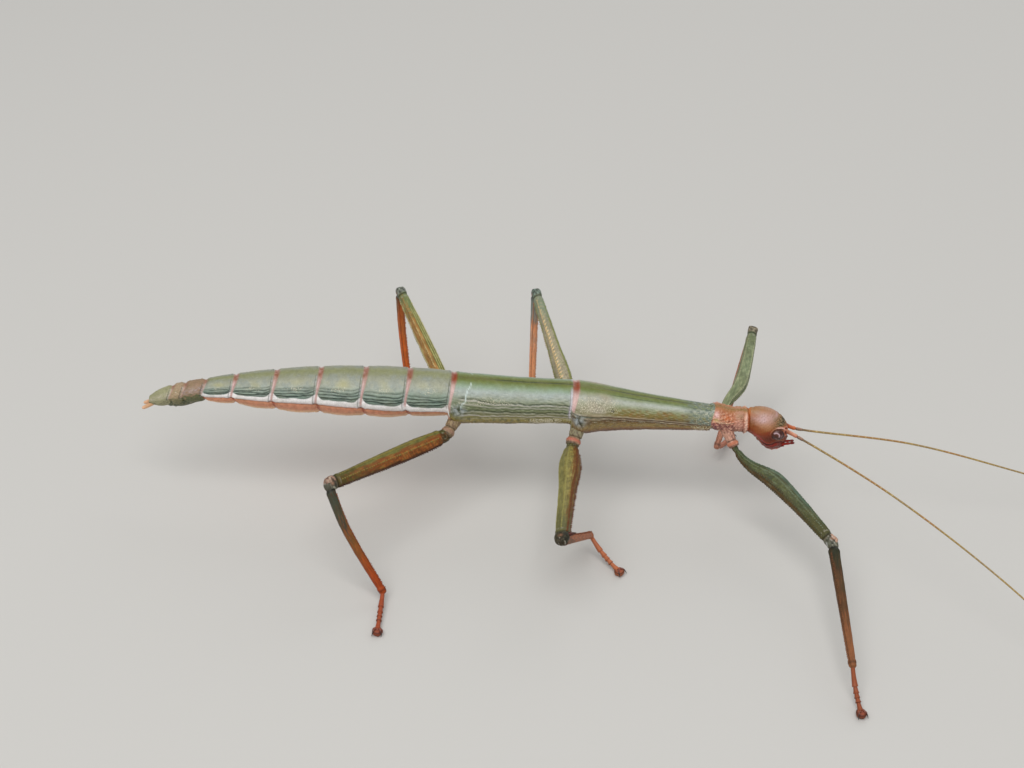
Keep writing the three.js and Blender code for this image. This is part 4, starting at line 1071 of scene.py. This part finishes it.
# Tints of each leg, in the order of TINT_PARTS. `under` is the femur's underside, `beads` its lower rows of
# grains, `end` the femur near the knee, and the tibia has one tint at its top, middle and foot.
TINT_PARTS = ("coxa", "rim", "back", "flank", "under", "ridge", "beads", "end", "knee", "foot",
              "shin_top", "shin_middle", "shin_low")
TINTS = {
    "front_right": [
        (76, 57, 49), (80, 49, 37), (30, 38, 30), (28, 30, 16), (36, 26, 12), (43, 48, 37), (40, 42, 28),
        (29, 28, 11), (78, 62, 53), (52, 26, 14), (14, 15, 7), (34, 21, 10), (54, 33, 19),
    ],
    "front_left": [
        (72, 50, 40), (80, 44, 28), (48, 52, 38), (40, 45, 29), (40, 40, 24), (70, 72, 56), (62, 62, 46),
        (40, 44, 30), (50, 46, 38), (72, 46, 36), (56, 42, 32), (78, 52, 42), (80, 54, 44),
    ],
    "middle_right": [
        (56, 53, 42), (76, 44, 36), (50, 48, 28), (50, 46, 25), (46, 29, 13), (62, 59, 34), (46, 27, 14),
        (35, 35, 21), (22, 20, 14), (66, 38, 24), (44, 28, 18), (64, 37, 22), (64, 38, 25),
    ],
    "middle_left": [
        (54, 52, 40), (66, 46, 38), (70, 66, 55), (52, 54, 28), (58, 60, 36), (50, 52, 30), (94, 80, 60),
        (48, 54, 44), (40, 46, 42), (66, 38, 25), (42, 45, 43), (92, 62, 44), (92, 62, 44),
    ],
    "hind_right": [
        (58, 50, 38), (62, 48, 40), (44, 44, 22), (52, 29, 12), (34, 18, 8), (56, 50, 24), (30, 16, 9),
        (31, 29, 12), (66, 52, 45), (57, 26, 14), (25, 26, 20), (49, 31, 13), (62, 25, 6),
    ],
    "hind_left": [
        (54, 50, 38), (62, 48, 40), (50, 51, 26), (53, 47, 22), (66, 44, 18), (80, 76, 54), (82, 77, 52),
        (42, 48, 30), (46, 48, 44), (64, 34, 20), (46, 30, 16), (80, 39, 15), (76, 36, 14),
    ],
}
# `brow` and `edge` are how high and how low on the femur, as the sine of the angle round it, the tints of
# its back and of its underside begin, `bite` is the height of its lower teeth, `tips` how dark they end,
# and `shank` delays the shin's middle tint. `rear` is a tint of the side that faces back. The others are
# how strongly a marking shows: the dark `root`, the `sides`' ridges, the lower ridges' `crease`, oblique
# `strokes`, fine `lines`, a `ladder` of rungs and the shin's `hairs`.
PLAIN_LEG = {"bite": 0.42, "crease": 0.8, "hairs": 0.55, "ladder": 0, "lines": 0, "rear": None, "root": 1,
             "shank": 0, "sides": 1, "strokes": 0.45, "tips": 0.8}
LEG_MARKINGS = {
    "front_right": {"root": 0.3, "brow": 0.4, "edge": -0.75, "bite": 0.12, "hairs": 0.25},
    "front_left": {"brow": 0.4, "edge": -0.7, "bite": 0.12, "root": 0.3},
    "middle_right": {"brow": 0.2, "edge": -0.5, "crease": 0.15, "tips": 0.3},
    "middle_left": {"brow": 0.1, "edge": -0.55, "ladder": 1, "hairs": 0.2, "shank": 0.12},
    "hind_right": {"brow": 0.5, "edge": -0.6, "sides": 0, "strokes": 0.65, "bite": 0.46, "shank": 0.14,
                   "hairs": 0.4},
    "hind_left": {"brow": 0.4, "edge": -0.2, "lines": 0.9, "rear": (65, 46, 22), "sides": 0.3, "hairs": 0.3},
}
# Ridges of the limbs: degrees round them and height. Upper, side and lower pairs on the femur.
UPPER_RIDGES, SIDE_RIDGES = ((52, 0.13), (128, 0.13)), ((0, 0.09), (180, 0.09))
LOWER_RIDGES = ((-48, 0.15), (-132, 0.15))
FEMUR_RIDGES = (*UPPER_RIDGES, *SIDE_RIDGES, *LOWER_RIDGES)
SHIN_RIDGES = ((-45, 0.08), (-135, 0.08))
TIBIA_RIDGES = ((45, 0.07), (135, 0.07), *SHIN_RIDGES)
SPUR = ((-90, 0),)  # the place of the single spine below a middle knee


def bearing(sweep, lift, side):
    """Unit vector at a sweep from straight ahead and a lift above level, in degrees:
    (cos s cos l, side sin s cos l, sin l)."""
    s, l = math.radians(sweep), math.radians(lift)
    return np.array([math.cos(s) * math.cos(l), side * math.sin(s) * math.cos(l), math.sin(l)])


def stand(leg, pair):
    """Joints of a leg as it stands: the lifts of tibia and tarsus are the arcsines of what each must drop
    over its length, and tops point away from the inside of the knee."""
    swing, femur, lift, tibia, height, tarsus, roll = STANCES[leg]
    side = -1 if leg.endswith("right") else 1
    hip = np.array(pair.hip) * (1, side, 1) + (swing, 0, 0)
    knee = hip + bearing(femur, lift, side) * pair.femur
    ankle = knee + bearing(tibia, math.degrees(math.asin((height - knee[2]) / pair.tibia)), side) * pair.tibia
    toe_lift = math.degrees(math.asin((SOLE_HEIGHT - height) / pair.tarsus))
    return SimpleNamespace(
        root=np.array(pair.coxa_root) * (1, side, 1), hip=hip, knee=knee, ankle=ankle,
        toe=ankle + bearing(tarsus, toe_lift, side) * pair.tarsus, heading=bearing(tarsus, 0, side),
        femur_top=0.2 * (hip - ankle) + (knee - ankle), tibia_top=knee - hip, roll=roll,
    )


def limb(start, end, top, rows, grid, relief, cap, roll=0, bow=NO_BOW, aside=None, lobe=0):
    """A length of leg. At each station the section is across * width (1 + 0.15 sin a) cos a +
    upright * depth sin a, its middle line swayed by the bow, and both ends close in domes: past an end the
    section shrinks by sin b while the station moves on by `cap` radii times cos b (1 + lobe cos 2a), which
    parts a knee into two lobes. Returns the rings, the share of the length and the angle round the leg."""
    stations, sides = grid
    length = np.linalg.norm(end - start)
    heading = (end - start) / length
    back = unit(top - heading * (top @ heading))
    aside = top if aside is None else aside
    lean = unit(aside - heading * (aside @ heading))
    turn = math.radians(roll)
    upright = back * math.cos(turn) + np.cross(heading, back) * math.sin(turn)
    across = np.cross(heading, upright)
    b = np.linspace(0.12, np.pi / 2, 9, endpoint=False)
    shares = np.concatenate([0 * b, np.linspace(0, 1, stations), 0 * b + 1])
    shrink = np.concatenate([np.sin(b), np.ones(stations), np.sin(b[::-1])])
    push = np.concatenate([-np.cos(b), np.zeros(stations), np.cos(b[::-1])])
    angle = np.linspace(0, 2 * np.pi, sides, endpoint=False)[None]
    share = np.broadcast_to(shares[:, None], (len(shares), sides))
    round_top = np.mod(np.degrees(angle) + 90, 360) - 90 + 0 * share
    depth, width = along(rows, shares)[..., None]
    extra = relief(share, round_top)
    reach_out = push[:, None] * cap * 0.5 * (depth + width)
    station = shares[:, None] * length + reach_out * (1 + lobe * np.cos(2 * angle))
    centre = start + heading * station[..., None] + lean * along(bow, shares)[0][:, None, None]
    wide = (width * (1 + 0.15 * np.sin(angle)) + extra) * shrink[:, None]
    deep = (depth + extra) * shrink[:, None]
    rings = centre + (wide * np.cos(angle))[..., None] * across + (deep * np.sin(angle))[..., None] * upright
    return rings, share, round_top


def ridge_mask(angle, ridges, width):
    """Strongest of the ridges' bells at each angle."""
    return np.max([circle_hump(angle, at, width) for at, _ in ridges], axis=0)


def femur_relief(share, angle):
    """Six ridges with hollow faces between them, dying out at both ends, a swollen knee with a groove
    behind it and two lobes, a ring at the base, and fine lengthwise wrinkles."""
    ridges = sum(lift * circle_hump(angle, at, 8) for at, lift in FEMUR_RIDGES)
    hollow = -0.07 * (1 - ridge_mask(angle, FEMUR_RIDGES, 22))
    knee = 0.05 * hump(share, 0.915, 0.01) - 0.12 * hump(share, 0.938, 0.01) - 0.05 * step(0.95, 0.98, share)
    top = np.sin(np.radians(angle))
    lobes = 0.14 * hump(top, 0.75, 0.3) + 0.1 * hump(top, -0.6, 0.4) - 0.16 * hump(top, 0.12, 0.14)
    base = -0.14 * hump(share, 0.05, 0.014) + 0.08 * hump(share, 0.075, 0.014)
    wrinkle = 0.02 * ripple(share * 6, angle * 0.06, 0.9, 91)
    fine_wrinkle = 0.012 * ripple(share * 40, angle * 0.05, 1.2, 92)
    return (plateau(share, 0.07, 0.9, 0.05) * (ridges + hollow) + knee + lobes * step(0.955, 0.985, share)
            + base + wrinkle + fine_wrinkle)


def tibia_relief(share, angle):
    """Four low ridges, a knob at the knee parted off by a neck, and a collar at the ankle."""
    ridges = sum(lift * circle_hump(angle, at, 11) for at, lift in TIBIA_RIDGES)
    neck = -0.2 * hump(share, 0.042, 0.014) + 0.06 * hump(share, 0.075, 0.02)
    ankle = 0.07 * hump(share, 0.975, 0.012) - 0.06 * hump(share, 0.95, 0.01)
    wrinkle = 0.012 * ripple(share * 8, angle * 0.06, 0.8, 93)
    return plateau(share, 0.08, 0.95, 0.04) * (ridges - 0.03) + neck + ankle + wrinkle


def coxa_relief(share, angle):
    """Folds of the socket at the root, a groove, and a ringed rim round the hip."""
    folds = 0.05 * np.sin(share * 34 + 0.8 * np.sin(np.radians(angle))) * step(0.62, 0.35, share)
    rim = -0.14 * hump(share, 0.74, 0.035) + 0.16 * hump(share, 0.88, 0.06) - 0.08 * hump(share, 0.985, 0.02)
    return folds + rim + 0.04 * ripple(share * 5, angle * 0.03, 0.8, 94)


def speck(rings, size, seed):
    """Unevenness that follows places and not the lie of the skin, so that it doesn't bunch up at a pole."""
    x, y, z = np.moveaxis(rings, -1, 0)
    return ripple(x + 0.6 * z, y - 0.5 * z, size, seed)


def pale(tint, factor, most=90):
    """A lighter tint: times a factor, and at most `most` percent."""
    return np.minimum(tint * factor, most)


def coxa_shell(pose, pair, tints):
    """Coxa and trochanter: folded, with a brighter ring at the hip."""
    rows = [[share, pair.coxa * size, pair.coxa * size]
            for share, size in ((0, 1.15), (0.4, 1), (0.75, 0.86), (1, 0.95))]
    rings, share, _ = limb(pose.root, pose.hip, UP, rows, COXA_GRID, coxa_relief, cap=0.35)
    fine = speck(rings, 0.6, 95)
    colour = paint(
        tints.coxa,
        (tints.coxa * (0.7, 0.6, 0.62), step(0.1, 1.2, fine) * 0.7),
        (tints.rim * (0.62, 0.5, 0.55), step(0.3, 0.05, share) * 0.8),
        (pale(tints.coxa, 1.2), step(0.3, 1.2, -fine) * 0.6),
        (22, 18, 13, hump(share, 0.74, 0.03) * 0.8),
        (tints.rim, hump(share, 0.88, 0.08) * 0.95),
        (26, 20, 14, hump(share, 0.99, 0.02) * 0.7),
    )
    return shells(rings, colour, 2 * np.pi * pair.coxa, flecks=0.3, pits=0.3)


def femur_paint(rings, share, angle, tints, seed):
    """Back, flank and underside that meet along the ridges, each drawn out into fine lengthwise streaks;
    oblique strokes below, pale ridges, a dark blotch at the base, a darker end and a blotched knee."""
    top = np.sin(np.radians(angle))
    streak = ripple(share * 7, angle * 0.16 + seed, 1.0, 96)
    hair = ripple(share * 16, angle * 0.42 + seed, 1.0, 90)
    cloud, fine, blotch = speck(rings, 3.0, 97), speck(rings, 0.7, 99), speck(rings, 0.6, 101)
    grains, pale_grains = speck(rings, 0.35, 105), speck(rings, 0.5, 103)
    body = plateau(share, 0.06, 0.93, 0.03)
    under = step(tints.edge + 0.12, tints.edge - 0.12, top + 0.10 * streak)
    strokes = step(0.1, 0.9, np.sin(share * 170 + np.abs(angle - 90) * 0.09 + 1.1 * fine))
    stroked = strokes * step(0.3, 0.0, top) * (1 - under) * step(0.75, 0.4, share) * body * tints.strokes
    rear = tints.back if tints.rear is None else tints.rear
    comb = np.cos(np.radians(angle * 18))
    lines = tints.lines * plateau(angle, 2, 104, 5) * body
    beaded = 0.7 + 0.3 * np.sin(share * 230)
    ladder = tints.ladder * body
    rungs = circle_hump(angle, 121, 12) * step(-0.2, 0.6, np.sin(share * 200 + angle * 0.14))
    edges = np.maximum(ridge_mask(angle, UPPER_RIDGES, 5), ridge_mask(angle, SIDE_RIDGES, 5) * tints.sides)
    root = step(0.085, 0.05, share + 0.012 * fine) * tints.root
    knee = step(0.945, 0.955, share)
    return paint(
        tints.flank,
        (tints.back, step(tints.brow - 0.12, tints.brow + 0.12, top + 0.08 * streak)),
        (rear, plateau(angle, 100, 190, 5) * (tints.rear is not None)),
        (tints.under, under),
        (pale(tints.flank, 1.45), stroked),
        (tints.flank * 0.62, step(0.3, 1.4, cloud) * 0.25),
        (tints.back * 0.60, step(0.3, 1.6, hair) * 0.40),
        (pale(tints.ridge, 1.1), step(0.4, 1.7, -hair) * 0.30),
        (tints.back * 0.66, lines * step(-0.1, 0.7, comb)),
        (tints.beads, lines * beaded * step(0.35, 0.85, -comb)),
        (tints.flank, ladder * plateau(angle, -30, 68, 4)),
        (tints.back * 0.6, ladder * step(0.2, 0.9, grains) * 0.6),
        (tints.beads, ladder * rungs),
        (tints.ridge, edges * body * (0.65 + 0.3 * fine)),
        (tints.under * 0.55, ridge_mask(angle, LOWER_RIDGES, 6) * body * tints.crease),
        (tints.end, step(0.66, 0.9, share + 0.05 * fine + 0.03 * streak) * 0.85),
        (tints.back * 0.42, root * (0.75 + 0.2 * fine)),
        (52, 54, 44, root * step(0.7, 1.3, pale_grains) * 0.6),
        (66, 64, 58, hump(share, 0.91, 0.009) * step(0.2, 0.9, fine) * 0.6),
        (tints.knee, knee * 0.95),
        (tints.knee * (0.5, 0.64, 0.64), knee * step(0.35, 0.0, top + 0.1 * blotch)),
        (pale(tints.knee, 1.4, 75) + 5, knee * step(0.9, 1.4, blotch) * 0.5),
        (10, 10, 8, knee * step(0.2, 0.8, -blotch) * 0.7),
        (10, 10, 8, knee * hump(top, 0.12, 0.09) * 0.8),
        (62, 44, 33, hump(top, 0.0, 0.28) * hump(share, 0.982, 0.011) * 0.75),
        (7, 8, 6, hump(share, 0.94, 0.007) * 0.85),
    )


def tibia_paint(rings, share, angle, tints, seed):
    """Three colours from the knee down that run into each other in streaks, darker along the lower ridges,
    and a knob at the knee, blotched like it."""
    streak = ripple(share * 6, angle * 0.12 + seed, 1.0, 98)
    hair = ripple(share * 14, angle * 0.35 + seed, 1.0, 89)
    fine, cloud = speck(rings, 0.6, 100), speck(rings, 3.2, 88)
    lower = step(0.2, -0.5, np.sin(np.radians(angle))) * 0.12
    knob = step(0.055, 0.03, share)
    pale_hairs = step(0.4, 1.6, -hair) * step(0.15, 0.4, share) * 0.7
    return paint(
        tints.shin_top,
        (tints.shin_middle, step(0.18 + tints.shank, 0.36 + tints.shank, share + 0.06 * streak + lower)),
        (tints.shin_top * 1.3, step(0.2, 1.2, cloud + 0.4 * streak) * step(0.85, 0.4, share) * 0.5),
        (tints.shin_low, step(0.5, 0.85, share + 0.04 * streak)),
        (tints.shin_low * 0.55, step(0.3, 1.5, hair) * tints.hairs),
        (pale(tints.shin_low, 1.35, 95), pale_hairs * tints.hairs),
        (tints.shin_middle * 0.6, ridge_mask(angle, SHIN_RIDGES, 8) * 0.55),
        (tints.knee * (0.5, 0.62, 0.6), knob * 0.9),
        (68, 66, 60, knob * step(0.4, 1.0, fine) * 0.6),
        (6, 6, 5, hump(share, 0.05, 0.014) * 0.8 + hump(share, 0.985, 0.01) * 0.5),
    )


def teeth(skin, ridges, low, high, count, height, width, tint, dark=0.8):
    """Rows of short cones along ridges of a limb. They stand at even shares of it, on its surface, away
    from its middle line: centre = root + direction * length * t and radius = r (1 - t)^0.8. Each is dark
    at the tip. Returns their shells."""
    rings, share, angle = skin
    rows = np.abs(share[:, :1] - np.linspace(low, high, count)).argmin(0)
    columns = [np.abs(np.mod(angle[0] - at + 180, 360) - 180).argmin() for at, _ in ridges]
    roots = np.concatenate([rings[rows, column] for column in columns])
    axis = unit(roots - np.tile(rings.mean(1)[rows], (len(ridges), 1)))
    vary = np.random.default_rng(17).uniform(0.75, 1.15, len(roots))[:, None]
    t = np.array([-0.25, 0.0, 0.35, 0.7, 0.94])
    across = unit(np.cross(axis, np.where(np.abs(axis[:, 2:]) > 0.9, FORWARD, UP)))
    upright = np.cross(across, axis)
    turn = np.linspace(0, 2 * np.pi, 6, endpoint=False)[:, None]
    radius = (width * vary * (1 - np.maximum(t, 0)) ** 0.8)[..., None, None]
    centre = roots[:, None] + axis[:, None] * (height * vary * t)[..., None]
    circle = np.cos(turn) * across[:, None, None] + np.sin(turn) * upright[:, None, None]
    tip = np.linspace(0, 1, len(t))[:, None]
    return shells(centre[:, :, None] + radius * circle, paint(tint, (12, 7, 5, tip * dark)), girth=0.5)


def foot_path(pose, shares):
    """The tarsus from ankle to toe: a quadratic arch whose middle knot lies 0.4 of the way and near the
    floor."""
    middle = pose.ankle + 0.4 * (pose.toe - pose.ankle)
    middle[2] = SOLE_HEIGHT + 0.25 * (pose.ankle[2] - SOLE_HEIGHT)
    t = shares[:, None]
    return (1 - t) ** 2 * pose.ankle + 2 * t * (1 - t) * middle + t * t * pose.toe


def tarsus_shell(pose, tint):
    """Five joints: each one's radius grows towards its far end, where a lobed sole hangs below it, and the
    last one flares to carry pad and claws."""
    shares = np.linspace(0, 1, TARSUS_STATIONS)
    joint = np.clip(np.searchsorted(TARSUS_JOINTS, shares, side="right") - 1, 0, 4)
    within = (shares - TARSUS_JOINTS[joint]) / np.diff(TARSUS_JOINTS)[joint]
    radii = (0.40 + 0.17 * within ** 2.2 - 0.10 * hump(within, 0.0, 0.05)) * dome(shares, 0.03)
    radii = radii * np.where(joint == 4, 0.92 + 0.2 * within, 1.0)
    angle = np.linspace(0, 360, TARSUS_SIDES, endpoint=False)[None]
    sole = circle_hump(angle, 270, 42) * (0.13 * hump(within, 0.86, 0.16) * (joint < 4))[:, None]
    rings = tube_along(foot_path(pose, shares), radii, TARSUS_SIDES, sole)
    rings[..., 2] = np.maximum(rings[..., 2], 0.04)
    near = within[:, None]
    colour = paint(
        tint,
        (tint * (0.72, 0.55, 0.5), circle_hump(angle, 270, 50) * step(0.4, 0.8, near) * 0.8),
        # painted highlight: paler along the top of the tarsus
        (pale(tint, 1.25), circle_hump(angle, 90, 60) * 0.4),
        (20, 9, 6, hump(near, 0.0, 0.05) * step(0.02, 0.05, shares[:, None]) * 0.8),
    )
    return shells(rings, colour, girth=3.0, pits=0.15)


def pad_shell(pose, tint):
    """The round pad at the tip: a flattened ball with a hollow crown and a thick rim, level on the floor:
    nothing of it lies lower than the sole."""
    a = np.linspace(0.05, np.pi - 0.05, 34)[:, None]
    b = np.linspace(0, 2 * np.pi, 44, endpoint=False)[None]
    radius = PAD_RADIUS * (0.93 + 0.04 * np.cos(5 * b)) * np.sin(a)
    crown = 0.55 * np.cos(a) * (1 - 0.75 * hump(a, 0, 0.55))
    up = np.where(a < np.pi / 2, crown, PAD_RADIUS * 0.95 * np.cos(a))
    ball = np.stack([radius * np.cos(b), radius * np.sin(b), up + 0 * b], -1)
    rings = pose.toe + pose.heading * 0.35 + ball
    rings[..., 2] = np.maximum(rings[..., 2], 0.0)
    crown_pink, rim_dark = hump(a / np.pi, 0.12, 0.1) * 0.8, hump(a / np.pi, 0.36, 0.08) * 0.8
    return shells(rings, paint(tint * 0.9, (70, 40, 32, crown_pink), (28, 10, 7, rim_dark)), girth=5.0)


def claw_shell(pose, hand):
    """A hooked claw that clasps the pad from one hand: a thinning tube on an arc that swings in and down
    towards its tip."""
    t = np.linspace(0, 1, 26)
    turn = math.radians(CLAW_SPREAD * hand)
    x, y, _ = pose.heading
    aim = np.array([x * math.cos(turn) - y * math.sin(turn), x * math.sin(turn) + y * math.cos(turn), 0])
    inward = unit(pose.heading - aim * (pose.heading @ aim))
    root = pose.toe + aim * PAD_RADIUS * 0.3 + (0, 0, 0.5)
    drop = 0.2 * np.sin(np.pi * t) - 0.85 * t ** 2.4
    path = root + CLAW_REACH * np.outer(t, aim) + 0.3 * np.outer(t ** 3, inward) + np.outer(drop, UP)
    rings = tube_along(path, 0.19 * (1 - 0.88 * t) ** 0.7 * dome(t, 0.05), 12)
    rings[..., 2] = np.maximum(rings[..., 2], 0.02)
    return shells(rings, paint((46, 22, 14), (8, 4, 3, step(0.35, 0.8, t)[:, None])), girth=1.2)


def leg_pieces(leg):
    """One leg, from the socket to the claws."""
    pair_name = leg.split("_")[0]
    pair, slot = PAIRS[pair_name], f"{pair_name}_leg"
    pose = stand(leg, pair)
    markings = {**dict(zip(TINT_PARTS, np.array(TINTS[leg]))), **PLAIN_LEG, **LEG_MARKINGS[leg]}
    tints = SimpleNamespace(**markings)
    seed = 7.0 * sorted(STANCES).index(leg)
    femur = limb(pose.hip, pose.knee, pose.femur_top, pair.femur_sections, FEMUR_GRID, femur_relief, cap=0.55,
                 roll=pose.roll, bow=pair.bow, aside=FORWARD, lobe=0.5)
    rings, share, angle = femur
    thigh = shells(rings, femur_paint(*femur, tints, seed), girth=9.0,
                   flecks=0.25 * plateau(share, 0.1, 0.9, 0.05),
                   pits=0.18 * step(0.1, -0.4, np.sin(np.radians(angle))))
    tibia = limb(pose.knee, pose.ankle, pose.tibia_top, pair.tibia_sections, TIBIA_GRID, tibia_relief,
                 cap=0.7, bow=[[0, 0], [0.4, pair.tibia_bow], [1, 0]])
    shin = shells(tibia[0], tibia_paint(*tibia, tints, seed), girth=5.0, flecks=0.1, pits=0.15)
    rear = tints.ridge if leg.endswith("right") else tints.beads if tints.rear is None else tints.rear
    front_rows = (UPPER_RIDGES[0], *SIDE_RIDGES)
    cones = [
        teeth(femur, LOWER_RIDGES, 0.10, 0.93, 46, tints.bite, 0.22, tints.beads, tints.tips),
        teeth(femur, front_rows, 0.10, 0.90, 48, pair.grain, 0.17, tints.ridge, 0.2),
        teeth(femur, UPPER_RIDGES[1:], 0.10, 0.90, 48, pair.grain, 0.17, rear, 0.2),
    ]
    if pair_name == "middle":
        cones.append(teeth(femur, SPUR, 0.955, 0.96, 1, 1.3, 0.4, (34, 13, 9)))
    cones.append(teeth(tibia, SHIN_RIDGES, 0.1, 0.97, 52, 0.24, 0.14, tints.shin_low))
    piece(f"{leg}_coxa_skin", LIMB_CUTICLE, slot, [f"{leg}_coxa"], coxa_shell(pose, pair, tints))
    piece(f"{leg}_femur_skin", LIMB_CUTICLE, slot, [f"{leg}_femur"], thigh)
    piece(f"{leg}_tibia_skin", LIMB_CUTICLE, slot, [f"{leg}_tibia"], shin)
    piece(f"{leg}_teeth", LIMB_CUTICLE, slot, [], *cones)
    piece(f"{leg}_foot_skin", FOOT_CUTICLE, "foot", [f"{leg}_foot"],
          tarsus_shell(pose, tints.foot), pad_shell(pose, tints.foot))
    piece(f"{leg}_claws", HORN, "foot", [], claw_shell(pose, -1), claw_shell(pose, 1))


# ---------------------------------------------------------------- finishes and making

TRUNK_CUTICLE = cuticle("trunk_cuticle", 0.40, (56, 53, 34), lean=0.16, fleck_tint=(84, 81, 70),
                        fleck_size=0.24, crease_depth=0.07)
HEAD_CUTICLE = cuticle("head_cuticle", 0.36, (60, 42, 28), lean=0.04, tone=0.25, crease_depth=0.03,
                       shine=0.34)
LIMB_CUTICLE = cuticle("limb_cuticle", 0.45, (44, 36, 18), lean=0.12, fleck_size=0.2, crease_size=0.22,
                       stretch=8.0, crease_depth=0.06, fleck_tint=(66, 62, 44), shine=0.28)
FOOT_CUTICLE = cuticle("foot_cuticle", 0.45, (66, 44, 34), lean=0.2, fleck_size=0.15, crease_depth=0.03,
                       shine=0.3)
FEELER_CUTICLE = cuticle("feeler_cuticle", 0.48, (60, 50, 30), lean=0.3, fleck_size=0.12, crease_depth=0.02,
                         shine=0.3)
MOUTH_CUTICLE = cuticle("mouth_cuticle", 0.38, (42, 14, 10), lean=0.2, crease_depth=0.02, shine=0.3)
HORN = cuticle("claw_horn", 0.25, (30, 14, 8), lean=0.2, tone=0.3, crease_depth=0.01, coat=0.4)
EYE_GLOSS = cuticle("eye_gloss", 0.3, (36, 24, 20), lean=0.3, tone=0.4, crease_size=0.06, stretch=1.0,
                    crease_depth=0.012, coat=0.2, shine=0.3)

trunk_skin()
head_skin()
for name, side in SIDES:
    eye(name, side)
    feeler(name, side)
mouthparts()
egg_scoop()
cerci()
for leg in STANCES:
    leg_pieces(leg)


# ---------------------------------------------------------------- floor, lamps and camera

def floor():
    """A wide pale floor just under the soles."""
    reach, drop = 1.6, 0.00002
    mesh = bpy.data.meshes.new("floor")
    corners = [(-reach, -reach, -drop), (reach, -reach, -drop), (reach, reach, -drop), (-reach, reach, -drop)]
    mesh.from_pydata(corners, [], [(0, 1, 2, 3)])
    material = bpy.data.materials.new("pale_floor")
    material.use_nodes = True
    tree = material.node_tree
    fill(tree, tree.nodes["Principled BSDF"], {"Base Color": (*linear((80, 79, 77)), 1), "Roughness": 0.9})
    mesh.materials.append(material)
    made = placed("floor", mesh)


def lamp(name, place, size, power):
    """A square soft lamp at a place, in metres, aimed at the insect."""
    light = bpy.data.lights.new(name, "AREA")
    light.size = size
    light.energy = power
    aim = Vector((0, 0, 0.01)) - Vector(place)
    turn = aim.to_track_quat("-Z", "Y").to_matrix()
    placed(name, light).matrix_world = Matrix.Translation(Vector(place)) @ turn.to_4x4()


def studio():
    """Soft light from above on the camera's side, a weaker one behind, and an even pale surround."""
    lamp("key", (-0.15, -0.35, 0.85), 0.8, 6.2)
    lamp("rim", (0.3, 0.7, 0.5), 0.6, 1.2)
    world = bpy.data.worlds.new("surround")
    bpy.context.scene.world = world
    world.use_nodes = True
    tree = world.node_tree
    fill(tree, tree.nodes["Background"], {"Color": (0.96, 0.98, 1.0, 1), "Strength": 0.42})


def camera():
    """Looks down at the insect's right side from 36.9 degrees above level, a little rolled."""
    distance, drop, roll = 350.0, math.radians(36.9), math.radians(2.03)
    target = np.array([8.35, 0.0, 26.36])
    back = np.array([0, -math.cos(drop), math.sin(drop)])
    high = np.cross(back, FORWARD)
    right = FORWARD * math.cos(roll) + high * math.sin(roll)
    up = high * math.cos(roll) - FORWARD * math.sin(roll)
    data = bpy.data.cameras.new("camera")
    data.lens = 61.5
    data.sensor_width = 36
    made = placed("camera", data)
    turn = Matrix([right, up, back]).transposed()
    made.matrix_world = Matrix.Translation(Vector(in_frame(target + back * distance))) @ turn.to_4x4()
    bpy.context.scene.camera = made


floor()
studio()
camera()
bpy.context.scene.view_settings.view_transform = "Standard"
